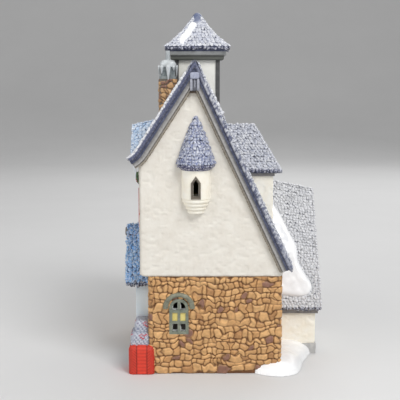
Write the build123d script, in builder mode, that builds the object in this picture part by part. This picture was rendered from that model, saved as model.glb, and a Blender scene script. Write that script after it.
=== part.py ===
from build123d import *
from math import cos, radians, sin, sqrt, tan, tau
import os

# Cast and painted ceramic winter-village house, built as the casting is luted together:
# wall slabs, roof slabs, tower, turret and trims are separate pieces seated face to face.
# Millimetres and degrees. The street front looks along -X, the near gable end along -Y,
# +Z is up, and the origin is the centre of the stone storey's footprint on the ground.

# Common sizes
wall = 3.6                 # thickness of a cast wall slab
overrun = 6.0              # how far a cut runs past the piece that it cuts

# Stone storey
block_width = 77.0         # street front to rear
block_length = 116.0       # near end to far end
storey_height = 58.5
base_thick = 3.2
quoin_radius = 2.2         # rounding of the outer corners
lamp_hole_radius = 16.0    # round inlet for a clip-in lamp, in the far end wall
lamp_hole_height = 27.0
passage_width = 18.0       # opening from the main room to the wing
passage_height = 26.0

# Raised stones of the stone storey, laid in broken courses
stone_course = 5.3         # height of a course with its joint
stone_length = 7.6         # usual length of a stone with its joint
stone_joint = 0.9
stone_coat = 0.25          # mortar between the stones
stone_proud = 0.45         # stones over the mortar
stone_sway = 0.8           # rise and fall of the bed joints
stone_sway_length = 23.0
stone_length_shares = (1.0, 0.8, 1.25, 0.9, 1.1, 0.75, 1.3)

# Stucco storey, which oversails the stone
jetty_front = 5.1
jetty_rear = 1.0
jetty_end = 1.5
jetty_floor = 3.0          # ledge that carries the front wall on the stone
jetty_round = 2.4          # soft lower corner over the street

# Main roof, a short flared slope to the street and a long one to the rear
ridge_setback = 27.0       # stone front to ridge
front_pitch = 57.2
rear_pitch = 64.8
roof_thick = 3.6
barge_width = 3.4
barge_thick = 3.0
verge_overhang = 4.5
flare_start = 0.6          # where the flare begins, outside the stucco front
flare_radius = 14.0
flare_angle = 29.0
rear_eave_lift = 4.5       # height of the rear eave's lower edge over the stone
ridge_cap_height = 3.0     # ridge piece over the flat that carries it
ridge_cap_round_share = 0.45  # rounding of its crest, of its height
verge_snow_thick = 1.6
verge_snow_width = 3.4
shingle_course = 5.2       # lapped courses on the two main slopes
shingle_butt = 0.9         # thickness at the lower edge of a course
shingle_head = 0.25        # thickness where the next course laps it

# King post and collar at the gable tops
post_width = 4.6
post_proud = 1.2
collar_width = 7.4
collar_height = 2.2

# Tower on the ridge
tower_width = 27.2
tower_wall = 3.2
tower_offset_x = 0.9       # from the ridge towards the rear
tower_offset_y = 13.5      # from the middle towards the far end
tower_over_ridge = 0.7     # top of the shaft over the meeting of the main slopes
tower_post = 2.6
tower_post_proud = 0.6
cornice_roll_out = 3.1
cornice_roll_height = 3.0
cornice_roll_radius = 1.2
cornice_fascia_out = 4.5
cornice_fascia_height = 2.4
tower_eave_out = 6.5
tower_eave_height = 2.9
tower_roof_rise = 20.4
tower_tip = 2.2
tower_bell_shares = ((0.0, 1.0), (0.2, 0.74), (0.52, 0.43), (0.78, 0.22))  # height and width
finial_radius = 1.9

# Chimney on the street slope
chimney_width = 10.0
chimney_from_ridge = 17.2
chimney_offset_y = -10.0
chimney_under_ridge = 10.9  # top of the stack under the meeting of the main slopes
crown_width = 8.8
crown_height = 7.6
crown_lip = 0.7
crown_lip_height = 1.6
pot_radius = 1.6
pot_top_radius = 1.35
pot_height = 9.6
pot_wall = 0.5
chimney_snow_width = 11.2
chimney_snow_height = 4.6
chimney_snow_drape = 1.6   # how far the snow hangs down the crown
chimney_snow_round = 2.4
chimney_icicle_radius = 1.0
chimney_icicle_length = 8.4
chimney_icicle_tip = 0.2

# Oriel turret on the near gable
oriel_offset = 0.3         # from the ridge towards the rear
oriel_radius = 8.2         # half-round plan
oriel_wall = 1.8
oriel_opening = 8.0        # width of the way into it through the gable
oriel_under_collar = 19.1  # tip of its roof under the bargeboards' meeting
oriel_height = 16.4
corbel_step = 2.15
corbel_steps = 4
corbel_foot_share = 0.46   # width of the lowest ring
corbel_lip_share = 0.25    # of one step, by which the top ring stands back
corbel_round = 0.7         # rounding of each ring's edges
oriel_eave_out = 2.6
oriel_eave_height = 3.2
oriel_roof_rise = 27.0
oriel_tip = 0.9
lancet_width = 5.9
lancet_height = 13.3
lancet_arch = 4.4
lancet_bar = 1.5
lancet_sill = 0.6          # over the floor of the turret
lancet_thick = 1.0

# Round-headed window in the near stone wall
side_window_x = -21.2
side_window_drop = 13.3    # head of the window under the stucco storey
side_window_width = 11.4
side_window_height = 21.4
side_window_frame_bar = 1.8
side_window_glazing_bar = 1.6
side_window_depth = 2.4
side_window_proud = 0.6
side_window_rail_shares = (0.336, 0.645)
side_pane_thick = 0.8
hood_mould_gap = 0.3       # round the window
hood_mould_bar = 2.8
hood_mould_proud = 2.2
hood_mould_lift = 0.7      # of its ends over the springing of the window

# Casements of one pattern
casement_width = 9.6
casement_height = 14.0
casement_bar = 1.3
casement_glazing_bar = 1.0
casement_depth = 2.4
casement_proud = 0.8
casement_bar_depth = 1.5
casement_pane_thick = 0.6
casement_high = 37.5       # middle of the upper ones over the stone
casement_low = 30.0        # middle of the ground-floor one
casement_far_offset = 27.0 # street casements beyond the middle of the house

# Rear dormer with a hipped roof
dormer_from_near = 36.0
dormer_half = 16.0
dormer_setback = 4.1       # of its face behind the stone rear
dormer_wall_height = 58.5  # over the stone
dormer_eave_out = 3.0
dormer_front_eave_out = 4.7
dormer_eave_height = 2.0
dormer_eave_inset = 1.2
dormer_roof_rise = 25.6
dormer_hip_run = 15.1
dormer_trim_height = 1.8
dormer_trim_proud = 1.2
dormer_casement_drop = 13.5  # of its middle under the wall's top

# Rear wing
wing_offset = 8.0          # of its ridge beyond the middle of the house
wing_half = 27.0
wing_out = 25.0
wing_eave_out = 4.0
wing_eave_height = 30.2
wing_ridge_height = 101.6  # at the end wall
wing_ridge_fall = 5.0      # from the stone rear wall to the end wall
wing_verge_top = 0.6
wing_verge_foot = 3.8
wing_foundation_height = 6.4
wing_foundation_proud = 1.0
wing_trim_height = 2.2
wing_casement = 34.0
wing_snow_thick = 1.8
wing_snow_top_drop = 6.6   # under the ridge
wing_snow_foot_rise = 7.0  # over the eave
wing_snow_edge_shares = ((-0.3, 1.0), (0.06, 0.84), (0.24, 0.70), (0.48, 0.52), (0.56, 0.34),
                         (0.88, 0.14), (0.85, 0.03), (0.6, 0.0), (0.1, 0.02), (-0.3, 0.0))

# Street bay: porch, window with shutters, and a gablet over it
bay_from_near = 30.0
gablet_out = 6.0           # verge beyond the stucco front
gablet_rise = 16.8         # ridge over the street eave
gablet_pitch = 48.0
gablet_fall = 12.0         # fall of its ridge towards the street
gablet_thick = 3.4
gablet_wall_out = 3.4
hood_out = 9.4             # verge of the porch roof beyond the stucco front
hood_rise_over_stone = 25.5
hood_pitch = 61.0
hood_half = 18.0
hood_thick = 3.0
hood_ring_radius = 1.9
hood_ring_bar = 0.75
porch_out = 9.0            # porch front beyond the stone front
porch_half = 13.0
door_width = 11.0
door_height = 28.0
door_sill = 3.0
door_setback = 3.0
door_thick = 2.2
door_knob = 0.8
door_groove = 0.5
step_out = 4.0
step_half = 9.0
shutter_width = 6.2
shutter_height = 24.0
shutter_thick = 1.9
shutter_gap = 0.6
shutter_panel_depth = 0.6
shutter_stile = 1.2
garland_radius = 1.7
garland_half = 14.0
garland_gap = 1.3          # over the shutters
garland_sag = 6.0
icicle_radius = 0.95
icicle_tip = 0.15
icicle_flare_share = 0.9   # where they hang, along the flare to the eave's tip
icicle_longest = 13.0
icicle_shares = (0.55, 0.92, 0.45, 0.8, 0.6, 1.0, 0.5, 0.75, 0.9, 0.6, 0.85)

# Folded woollens at the near street corner
red_wool_out = 12.2        # from the stone front towards the street
red_wool_wrap = 2.9        # round the corner, along the near wall
red_wool_proud = 2.4       # in front of the near wall
red_wool_height = 16.8
red_wool_round = 2.4
grey_wool_out = 11.4
grey_wool_setback = 3.0    # of each layer behind the one below, from the near end
grey_wool_layer = 8.0
grey_wool_shrink = 2.2     # of the upper layer towards the house
grey_wool_round = 2.2

# Ground snow in the corner of the rear wall and the wing
drift_out = 22.0           # along the wing, from the stone rear
drift_run = 44.0           # along the stone rear, from the wing
drift_height = 7.6
drift_edge_shares = ((-0.65, -0.86), (-0.29, -0.98), (0.0, -1.0), (0.26, -0.94), (0.44, -0.86),
                     (0.62, -0.66), (0.73, -0.4), (0.85, -0.14), (0.98, 0.06), (0.3, 0.2),
                     (-0.3, -0.2))
drift_focus_shares = (0.1, -0.45)
drift_section_shares = ((1.0, 0.0), (0.9, 0.5), (0.72, 0.82), (0.4, 1.0))

# Derived places
x_front = -block_width / 2
x_rear = block_width / 2
y_near = -block_length / 2
y_far = block_length / 2
upper_front = x_front - jetty_front
upper_rear = x_rear + jetty_rear
gable_far = y_far + jetty_end
gable_near = -gable_far
verge_far = gable_far + verge_overhang
ridge_x = x_front + ridge_setback

front_rise = tan(radians(front_pitch))
rear_rise = tan(radians(rear_pitch))
front_normal = (-sin(radians(front_pitch)), cos(radians(front_pitch)))
rear_normal = (sin(radians(rear_pitch)), cos(radians(rear_pitch)))
front_drop = roof_thick / cos(radians(front_pitch))
rear_drop = roof_thick / cos(radians(rear_pitch))
eave_under_x = upper_rear + barge_width / rear_normal[0]
ridge_height = storey_height + rear_rise * (eave_under_x - ridge_x) + rear_drop
apex = (ridge_x, ridge_height)
ridge_seat = (ridge_x, ridge_height - ridge_cap_height)
front_seat = (ridge_x - ridge_cap_height / front_rise, ridge_seat[1])
rear_seat = (ridge_x + ridge_cap_height / rear_rise, ridge_seat[1])
knee_x = upper_front - flare_start
knee = (knee_x, ridge_height - front_rise * (ridge_x - knee_x))
rear_eave_in = (eave_under_x - rear_eave_lift / rear_rise, storey_height + rear_eave_lift)
rear_eave_out = (rear_eave_in[0] + roof_thick * rear_normal[0],
                 rear_eave_in[1] + roof_thick * rear_normal[1])

tower_x = ridge_x + tower_offset_x
tower_y = tower_offset_y
tower_top = ridge_height + tower_over_ridge
tower_foot = ridge_height - rear_rise * (tower_offset_x + tower_width) - overrun
chimney_x = ridge_x - chimney_from_ridge
oriel_x = ridge_x + oriel_offset
lancet_seat = oriel_radius - sqrt(oriel_radius ** 2 - (lancet_width / 2) ** 2)
side_window_sill = storey_height - side_window_drop - side_window_height
side_window_rails = [side_window_sill + share * side_window_height for share in side_window_rail_shares]
hood_mould_radius = side_window_width / 2 + hood_mould_gap + hood_mould_bar
hood_mould_height = side_window_sill + side_window_height - side_window_width / 2 + hood_mould_lift
casement_level = storey_height + casement_high
dormer_y = y_near + dormer_from_near
dormer_face = x_rear - dormer_setback
dormer_reach = dormer_face - ridge_x
dormer_wall_top = storey_height + dormer_wall_height
wing_y = wing_offset
wing_end = x_rear + wing_out
wing_near = wing_y - wing_half
wing_far = wing_y + wing_half
wing_ridge_root = wing_ridge_height + wing_ridge_fall
wing_snow_top = wing_ridge_height - wing_snow_top_drop
wing_snow_foot = wing_eave_height + wing_snow_foot_rise
bay_y = y_near + bay_from_near
hood_ridge_height = storey_height + hood_rise_over_stone
porch_front = x_front - porch_out


def end_plane(y):
    """Plane across the house at y, drawn in X and Z and facing the near end."""
    return Plane.XZ.offset(-y)


def long_plane(x):
    """Plane along the house at x, drawn in Y and Z and facing the rear."""
    return Plane.YZ.offset(x)


def level(z):
    """Level plane at height z."""
    return Plane.XY.offset(z)


def outward_plane(x, y, z, facing):
    """Upright plane on a wall, drawn level and up, that faces outwards."""
    return Plane(origin=(x, y, z), x_dir=Vector(facing).cross(Vector(0, 0, -1)), z_dir=facing)


def rectangle_between(left, right, low, high, mode=Mode.ADD):
    """Rectangle given by its four sides."""
    with Locations(((left + right) / 2, (low + high) / 2)):
        Rectangle(right - left, high - low, mode=mode)


def round_headed(middle, sill, width, height, mode=Mode.ADD):
    """Round-headed outline standing on its sill."""
    spring = sill + height - width / 2
    with BuildLine() as outline:
        Polyline((middle - width / 2, spring), (middle - width / 2, sill),
                 (middle + width / 2, sill), (middle + width / 2, spring))
        ThreePointArc((middle + width / 2, spring), (middle, sill + height),
                      (middle - width / 2, spring))
    make_face(outline.edges(), mode=mode)


def lancet(middle, sill, width, height, arch, mode=Mode.ADD):
    """Pointed outline whose two arcs start upright at the springing."""
    spring = sill + height - arch
    with BuildLine() as outline:
        Polyline((middle - width / 2, spring), (middle - width / 2, sill),
                 (middle + width / 2, sill), (middle + width / 2, spring))
        TangentArc((middle + width / 2, spring), (middle, sill + height), tangent=(0, 1))
        TangentArc((middle - width / 2, spring), (middle, sill + height), tangent=(0, 1))
    make_face(outline.edges(), mode=mode)


def bay_plan(radius):
    """Half-round turret plan with its back on the near gable."""
    with BuildLine() as outline:
        Line((oriel_x - radius, gable_near), (oriel_x + radius, gable_near))
        ThreePointArc((oriel_x + radius, gable_near), (oriel_x, gable_near - radius),
                      (oriel_x - radius, gable_near))
    make_face(outline.edges())


def bed_joint(along, course, courses):
    """Height of a wandering bed joint; the lowest and the highest run level."""
    sway = stone_sway if 0 < course < courses else 0
    return course * storey_height / courses + sway * sin(tau * along / stone_sway_length + course)


def lay_stones(left, right):
    """Stones of a wall, drawn level and up, in broken courses with wandering bed joints."""
    courses = round(storey_height / stone_course)
    stones = []
    for course in range(courses):
        start = left
        turn = 2 * course
        while start < right:
            end = start + stone_length * stone_length_shares[turn % len(stone_length_shares)]
            if right - end < stone_length / 2:
                end = right
            sides = (start + stone_joint / 2, end - stone_joint / 2)
            foot = [(side, bed_joint(side, course, courses) + stone_joint / 2) for side in sides]
            head = [(side, bed_joint(side, course + 1, courses) - stone_joint / 2) for side in sides]
            stones.append(Polygon(*foot, head[1], head[0], align=None, mode=Mode.PRIVATE))
            start = end
            turn += 1
    add(stones)


def lapped_courses(foot, top, out):
    """Saw-tooth section of the shingle courses from a slope's foot up to the ridge cap."""
    foot, top, out = Vector(*foot), Vector(*top), Vector(*out)
    rise = top - foot
    courses = round(rise.length / shingle_course)
    points = [foot]
    for course in range(courses):
        points.append(foot + rise * (course / courses) + out * shingle_butt)
        points.append(foot + rise * ((course + 1) / courses) + out * shingle_head)
    points.append(foot + rise)
    Polygon(*points, align=None)


def cut_casement(plane, depth):
    """Opening for a casement in the wall that carries the plane."""
    with BuildSketch(plane) as opening:
        Rectangle(casement_width, casement_height)
    extrude(opening.sketch, amount=-depth, mode=Mode.SUBTRACT)


def chevron_under(middle, half, top, rise, low):
    """Five-sided outline under a pitched roof, from the ground line up."""
    Polygon((middle - half, low), (middle + half, low), (middle + half, top - rise * half),
            (middle, top), (middle - half, top - rise * half), align=None)


def chevron(middle, half, top, pitch, thick):
    """Two equal roof slopes that meet at a ridge, cut square at the eaves."""
    rise = tan(radians(pitch))
    drop = thick / cos(radians(pitch))
    inset = thick * sin(radians(pitch))
    lift = thick * cos(radians(pitch))
    eave = top - rise * half
    Polygon((middle, top), (middle - half, eave), (middle - half + inset, eave - lift),
            (middle, top - drop), (middle + half - inset, eave - lift), (middle + half, eave),
            align=None)


def wing_heights(x):
    """Ridge and eave heights of the wing's roof at x: the ridge falls towards its end."""
    fall = wing_ridge_fall / wing_out
    return wing_ridge_root - fall * (x - x_rear), wing_eave_height


def wing_slab(x, side, low, high):
    """Section at x of one wing slope between two depths measured from its top face."""
    ridge, eave = wing_heights(x)
    run = wing_half + wing_eave_out
    length = (run ** 2 + (ridge - eave) ** 2) ** 0.5
    across = (ridge - eave) / length
    along = run / length
    points = [(wing_y, ridge - low / along),
              (wing_y + side * (run - low * across), eave - low * along),
              (wing_y + side * (run - high * across), eave - high * along),
              (wing_y, ridge - high / along)]
    Polygon(*points, align=None)


def wing_outline(x):
    """Section at x of the whole wing, under the top faces of its roof."""
    ridge, eave = wing_heights(x)
    run = wing_half + wing_eave_out
    chevron_under(wing_y, run, ridge, (ridge - eave) / run, 0)


def wing_under(x):
    """Section at x of the room under the wing's roof."""
    ridge, eave = wing_heights(x)
    run = wing_half + wing_eave_out
    length = (run ** 2 + (ridge - eave) ** 2) ** 0.5
    top = ridge - roof_thick * length / run
    chevron_under(wing_y, wing_half, top, (ridge - eave) / run, 0)


# Profiles of the main house, drawn across it
with BuildSketch(end_plane(verge_far)) as front_profile:
    with BuildLine():
        rafter = Line(apex, knee)
        flare = JernArc(rafter @ 1, rafter % 1, flare_radius, -flare_angle)
        eave_tip = flare @ 1
        eave_way = flare % 1
        icicle_line = flare @ icicle_flare_share
        icicle_way = flare % icicle_flare_share
        offset(amount=roof_thick, side=Side.LEFT)
    make_face()
    rectangle_between(eave_tip.X - overrun, ridge_x, 0, ridge_seat[1], Mode.INTERSECT)

with BuildSketch(end_plane(verge_far)) as rear_profile:
    Polygon(ridge_seat, rear_seat, rear_eave_out, rear_eave_in, (ridge_x, ridge_height - rear_drop),
            align=None)

with BuildSketch(end_plane(gable_far)) as gable_profile:
    Polygon((upper_front, storey_height), (upper_rear, storey_height),
            (upper_rear, ridge_height - rear_rise * (upper_rear - ridge_x)), ridge_seat,
            (upper_front, ridge_height - front_rise * (ridge_x - upper_front)), align=None)
    add(front_profile.sketch_local, mode=Mode.SUBTRACT)
    add(rear_profile.sketch_local, mode=Mode.SUBTRACT)
    fillet(gable_profile.vertices().group_by(Axis.X)[0].sort_by(Axis.Y)[0], jetty_round)

eave_tip_in = eave_tip + Vector(-eave_way.Y, eave_way.X) * roof_thick

# The space that the main house fills, which whatever stands against it is cut by
with BuildPart() as house_mass:
    with BuildSketch(end_plane(verge_far)):
        add(front_profile.sketch_local)
        add(rear_profile.sketch_local)
    extrude(amount=2 * verge_far)
    with BuildSketch(end_plane(gable_far)):
        add(gable_profile.sketch_local)
    extrude(amount=2 * gable_far)
    with BuildSketch(end_plane(y_far)):
        rectangle_between(x_front, x_rear, 0, storey_height)
    extrude(amount=block_length)

# Bargeboard lines under the verges, and the turret hung below their meeting
barge_depth = roof_thick + barge_width
front_barge_top = (ridge_x, ridge_height - barge_depth / cos(radians(front_pitch)))
front_barge_foot = (upper_front, front_barge_top[1] - front_rise * (ridge_x - upper_front))
rear_barge_top = (ridge_x, ridge_height - barge_depth / cos(radians(rear_pitch)))
rear_barge_foot = (rear_eave_in[0] - barge_width * rear_normal[0],
                   rear_eave_in[1] - barge_width * rear_normal[1])
oriel_top = front_barge_top[1] - oriel_under_collar - oriel_roof_rise - oriel_eave_height
oriel_sill = oriel_top - oriel_height

# Casement places, all of one pattern: far gable, dormer, wing end and three on the street
casement_planes = {
    "far gable": outward_plane(ridge_x, gable_far, casement_level, (0, 1, 0)),
    "dormer": outward_plane(dormer_face, dormer_y, dormer_wall_top - dormer_casement_drop, (1, 0, 0)),
    "wing": outward_plane(wing_end, wing_y, wing_casement, (1, 0, 0)),
    "bay": outward_plane(upper_front, bay_y, casement_level, (-1, 0, 0)),
    "street high": outward_plane(upper_front, casement_far_offset, casement_level, (-1, 0, 0)),
    "street low": outward_plane(x_front, casement_far_offset, casement_low, (-1, 0, 0)),
}
casement_seat = casement_depth - casement_proud

# Base and stone walls
with BuildPart() as base_plate:
    with BuildSketch(level(0)):
        rectangle_between(x_front + wall, x_rear - wall, y_near + wall, y_far - wall)
    extrude(amount=base_thick)

with BuildPart() as stone_wall_near:
    with BuildSketch(level(0)):
        rectangle_between(x_front, x_rear, y_near, y_near + wall)
    extrude(amount=storey_height)
    fillet(stone_wall_near.edges().filter_by(Axis.Z).group_by(Axis.Y)[0], quoin_radius)
    with BuildSketch(end_plane(y_near + wall + overrun)):
        round_headed(side_window_x, side_window_sill, side_window_width, side_window_height)
    extrude(amount=wall + 2 * overrun, mode=Mode.SUBTRACT)

with BuildPart() as stone_wall_far:
    with BuildSketch(level(0)):
        rectangle_between(x_front, x_rear, y_far - wall, y_far)
    extrude(amount=storey_height)
    fillet(stone_wall_far.edges().filter_by(Axis.Z).group_by(Axis.Y)[-1], quoin_radius)
    with BuildSketch(end_plane(y_far + overrun)):
        with Locations((0, lamp_hole_height)):
            Circle(lamp_hole_radius)
    extrude(amount=wall + 2 * overrun, mode=Mode.SUBTRACT)

with BuildPart() as stone_wall_front:
    with BuildSketch(end_plane(y_far - wall)):
        rectangle_between(x_front, x_front + wall, 0, storey_height)
    extrude(amount=block_length - 2 * wall)
    with BuildSketch(long_plane(x_front - overrun)):
        round_headed(bay_y, door_sill, door_width, door_height)
    extrude(amount=wall + 2 * overrun, mode=Mode.SUBTRACT)
    cut_casement(casement_planes["street low"], wall + overrun)

with BuildPart() as stone_wall_rear:
    with BuildSketch(end_plane(y_far - wall)):
        rectangle_between(x_rear - wall, x_rear, storey_height, ridge_height)
        add(gable_profile.sketch_local, mode=Mode.INTERSECT)
        rectangle_between(x_rear - wall, x_rear, 0, storey_height)
    extrude(amount=block_length - 2 * wall)
    with BuildSketch(long_plane(x_rear - wall - overrun)):
        round_headed(wing_y, base_thick, passage_width, passage_height)
    extrude(amount=wall + 2 * overrun, mode=Mode.SUBTRACT)

# Stucco walls
with BuildPart() as gable_wall_near:
    with BuildSketch(end_plane(gable_near + wall)):
        add(gable_profile.sketch_local)
        rectangle_between(oriel_x - oriel_opening / 2, oriel_x + oriel_opening / 2,
                          oriel_sill + oriel_wall, oriel_sill + oriel_height - oriel_wall, Mode.SUBTRACT)
    extrude(amount=wall)

with BuildPart() as gable_wall_far:
    with BuildSketch(end_plane(gable_far)):
        add(gable_profile.sketch_local)
    extrude(amount=wall)
    cut_casement(casement_planes["far gable"], wall + overrun)

with BuildPart() as stucco_wall_front:
    with BuildSketch(end_plane(gable_far - wall)):
        rectangle_between(upper_front, upper_front + wall, storey_height, ridge_height)
        rectangle_between(upper_front, x_front + wall, storey_height, storey_height + jetty_floor)
        add(gable_profile.sketch_local, mode=Mode.INTERSECT)
    extrude(amount=2 * (gable_far - wall))
    cut_casement(casement_planes["bay"], wall + overrun)
    cut_casement(casement_planes["street high"], wall + overrun)

# Main roof
with BuildPart() as main_roof_front_slope:
    extrude(front_profile.sketch, amount=2 * verge_far)

with BuildPart() as main_roof_rear_slope:
    extrude(rear_profile.sketch, amount=2 * verge_far)

with BuildPart() as main_ridge_cap:
    with BuildSketch(end_plane(verge_far)):
        crest = Polygon(front_seat, rear_seat, apex, align=None)
        fillet(crest.vertices().sort_by(Axis.Y)[-1], ridge_cap_round_share * ridge_cap_height)
    extrude(amount=2 * verge_far)
    with BuildSketch(level(tower_foot)):
        with Locations((tower_x, tower_y)):
            Rectangle(tower_width + 2 * tower_post_proud, tower_width + 2 * tower_post_proud)
    extrude(amount=tower_top + overrun - tower_foot, mode=Mode.SUBTRACT)

with BuildPart() as verge_snow:
    with BuildSketch(end_plane(verge_far)):
        with BuildLine():
            snow_rafter = Line(front_seat, knee)
            JernArc(snow_rafter @ 1, snow_rafter % 1, flare_radius, -flare_angle)
            offset(amount=verge_snow_thick, side=Side.RIGHT)
        make_face()
    extrude(amount=verge_snow_width)
    mirror(about=Plane.XZ)

# Bargeboards under the verges, with a boxed return at the street eave
with BuildPart() as near_front_bargeboard:
    with BuildSketch(end_plane(gable_near)):
        Polygon(ridge_seat, front_barge_top, front_barge_foot, (eave_tip_in.X, eave_tip_in.Y), knee,
                align=None)
        add(front_profile.sketch_local, mode=Mode.SUBTRACT)
    extrude(amount=barge_thick)

with BuildPart() as near_rear_bargeboard:
    with BuildSketch(end_plane(gable_near)):
        Polygon(ridge_seat, rear_eave_in, rear_barge_foot, rear_barge_top, align=None)
        add(rear_profile.sketch_local, mode=Mode.SUBTRACT)
    extrude(amount=barge_thick)

with BuildPart() as far_front_bargeboard:
    mirror(near_front_bargeboard.part, about=Plane.XZ)

with BuildPart() as far_rear_bargeboard:
    mirror(near_rear_bargeboard.part, about=Plane.XZ)

with BuildPart() as gable_king_posts:
    with BuildSketch(end_plane(gable_near - barge_thick)):
        rectangle_between(ridge_x - collar_width / 2, ridge_x + collar_width / 2,
                          front_barge_top[1] - collar_height, front_barge_top[1])
        rectangle_between(ridge_x - post_width / 2, ridge_x + post_width / 2,
                          front_barge_top[1], ridge_height - rear_drop)
    extrude(amount=post_proud)
    add(house_mass.part, mode=Mode.SUBTRACT)
    mirror(about=Plane.XZ)

# Tower
with BuildPart() as tower_posts:
    post_spacing = tower_width + 2 * tower_post_proud - tower_post
    with BuildSketch(level(tower_foot)):
        with Locations((tower_x, tower_y)):
            with GridLocations(post_spacing, post_spacing, 2, 2):
                Rectangle(tower_post, tower_post)
    extrude(amount=tower_top - tower_foot)
    add(house_mass.part, mode=Mode.SUBTRACT)
    add(main_ridge_cap.part, mode=Mode.SUBTRACT)

with BuildPart() as tower_shaft:
    with BuildSketch(level(tower_foot)):
        with Locations((tower_x, tower_y)):
            Rectangle(tower_width, tower_width)
            Rectangle(tower_width - 2 * tower_wall, tower_width - 2 * tower_wall, mode=Mode.SUBTRACT)
    extrude(amount=tower_top - tower_foot)
    add(house_mass.part, mode=Mode.SUBTRACT)
    add(tower_posts.part, mode=Mode.SUBTRACT)

with BuildPart() as tower_cornice:
    with BuildSketch(level(tower_top)):
        with Locations((tower_x, tower_y)):
            Rectangle(tower_width + 2 * cornice_roll_out, tower_width + 2 * cornice_roll_out)
    extrude(amount=cornice_roll_height)
    fillet(tower_cornice.faces().sort_by(Axis.Z)[0].edges(), cornice_roll_radius)
    with BuildSketch(level(tower_top + cornice_roll_height)):
        with Locations((tower_x, tower_y)):
            Rectangle(tower_width + 2 * cornice_fascia_out, tower_width + 2 * cornice_fascia_out)
    extrude(amount=cornice_fascia_height)
    with BuildSketch(level(tower_top)):
        with Locations((tower_x, tower_y)):
            Rectangle(tower_width - 2 * tower_wall, tower_width - 2 * tower_wall)
    extrude(amount=cornice_roll_height + cornice_fascia_height, mode=Mode.SUBTRACT)

tower_roof_foot = tower_top + cornice_roll_height + cornice_fascia_height

with BuildPart() as tower_roof:
    with BuildSketch(level(tower_roof_foot)):
        with Locations((tower_x, tower_y)):
            Rectangle(tower_width + 2 * cornice_fascia_out, tower_width + 2 * cornice_fascia_out)
    with BuildSketch(level(tower_roof_foot + tower_eave_height)):
        with Locations((tower_x, tower_y)):
            Rectangle(tower_width + 2 * tower_eave_out, tower_width + 2 * tower_eave_out)
    loft(ruled=True)
    for height_share, width_share in tower_bell_shares:
        with BuildSketch(level(tower_roof_foot + tower_eave_height + height_share * tower_roof_rise)):
            with Locations((tower_x, tower_y)):
                side = width_share * (tower_width + 2 * tower_eave_out)
                Rectangle(side, side)
    with BuildSketch(level(tower_roof_foot + tower_eave_height + tower_roof_rise)):
        with Locations((tower_x, tower_y)):
            Rectangle(tower_tip, tower_tip)
    loft()

with BuildPart() as tower_finial:
    with Locations((tower_x, tower_y, tower_roof_foot + tower_eave_height + tower_roof_rise)):
        Sphere(finial_radius)
    add(tower_roof.part, mode=Mode.SUBTRACT)

# Chimney
chimney_spot = (chimney_x, chimney_offset_y)
chimney_top = ridge_height - chimney_under_ridge
chimney_foot = ridge_height - front_rise * (chimney_from_ridge + chimney_width) - overrun
crown_top = chimney_top + crown_height

with BuildPart() as chimney_stack:
    with BuildSketch(level(chimney_foot)):
        with Locations(chimney_spot):
            Rectangle(chimney_width, chimney_width)
    extrude(amount=chimney_top - chimney_foot)
    add(house_mass.part, mode=Mode.SUBTRACT)

with BuildPart() as chimney_crown:
    with BuildSketch(level(chimney_top)):
        with Locations(chimney_spot):
            Rectangle(crown_width, crown_width)
    extrude(amount=crown_height)
    with BuildSketch(level(chimney_top)):
        with Locations(chimney_spot):
            Rectangle(crown_width + 2 * crown_lip, crown_width + 2 * crown_lip)
    extrude(amount=crown_lip_height)

with BuildPart() as chimney_pot:
    with BuildSketch(level(crown_top)):
        with Locations(chimney_spot):
            Circle(pot_radius)
    with BuildSketch(level(crown_top + pot_height)):
        with Locations(chimney_spot):
            Circle(pot_top_radius)
    loft()
    with BuildSketch(level(crown_top + pot_height)):
        with Locations(chimney_spot):
            Circle(pot_top_radius - pot_wall)
    extrude(amount=-pot_height / 2, mode=Mode.SUBTRACT)

with BuildPart() as chimney_snow:
    with BuildSketch(level(crown_top - chimney_snow_drape)):
        with Locations(chimney_spot):
            RectangleRounded(chimney_snow_width, chimney_snow_width, chimney_snow_round)
    extrude(amount=chimney_snow_height + chimney_snow_drape)
    fillet(chimney_snow.faces().sort_by(Axis.Z)[-1].edges(), chimney_snow_round)
    icicle_foot = crown_top - chimney_icicle_length / 2
    icicle_ring = crown_width / 2 + chimney_icicle_radius
    with Locations((chimney_x, chimney_offset_y, icicle_foot)):
        with PolarLocations(icicle_ring, 4, rotate=False):
            Cone(chimney_icicle_tip, chimney_icicle_radius, chimney_icicle_length)
    add(chimney_crown.part, mode=Mode.SUBTRACT)
    add(chimney_pot.part, mode=Mode.SUBTRACT)

# Oriel turret
with BuildPart() as oriel_bay:
    with BuildSketch(level(oriel_sill)):
        bay_plan(oriel_radius)
    extrude(amount=oriel_height)
    with BuildSketch(level(oriel_sill + oriel_wall)):
        bay_plan(oriel_radius - oriel_wall)
    extrude(amount=oriel_height - 2 * oriel_wall, mode=Mode.SUBTRACT)
    with BuildSketch(end_plane(gable_near - oriel_radius / 2)):
        lancet(oriel_x, oriel_sill + lancet_sill + lancet_bar, lancet_width - 2 * lancet_bar,
               lancet_height - 2 * lancet_bar, lancet_arch - lancet_bar)
    extrude(amount=oriel_radius, mode=Mode.SUBTRACT)

with BuildPart() as oriel_corbel:
    for step in range(corbel_steps):
        ring_share = 1 - (1 - corbel_foot_share) * (step + corbel_lip_share) / corbel_steps
        with BuildSketch(level(oriel_sill - step * corbel_step)):
            bay_plan(oriel_radius * ring_share)
        extrude(amount=-corbel_step)
        ring_foot = oriel_corbel.faces().sort_by(Axis.Z)[0]
        fillet(ring_foot.edges().filter_by(GeomType.CIRCLE), corbel_round)

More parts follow.
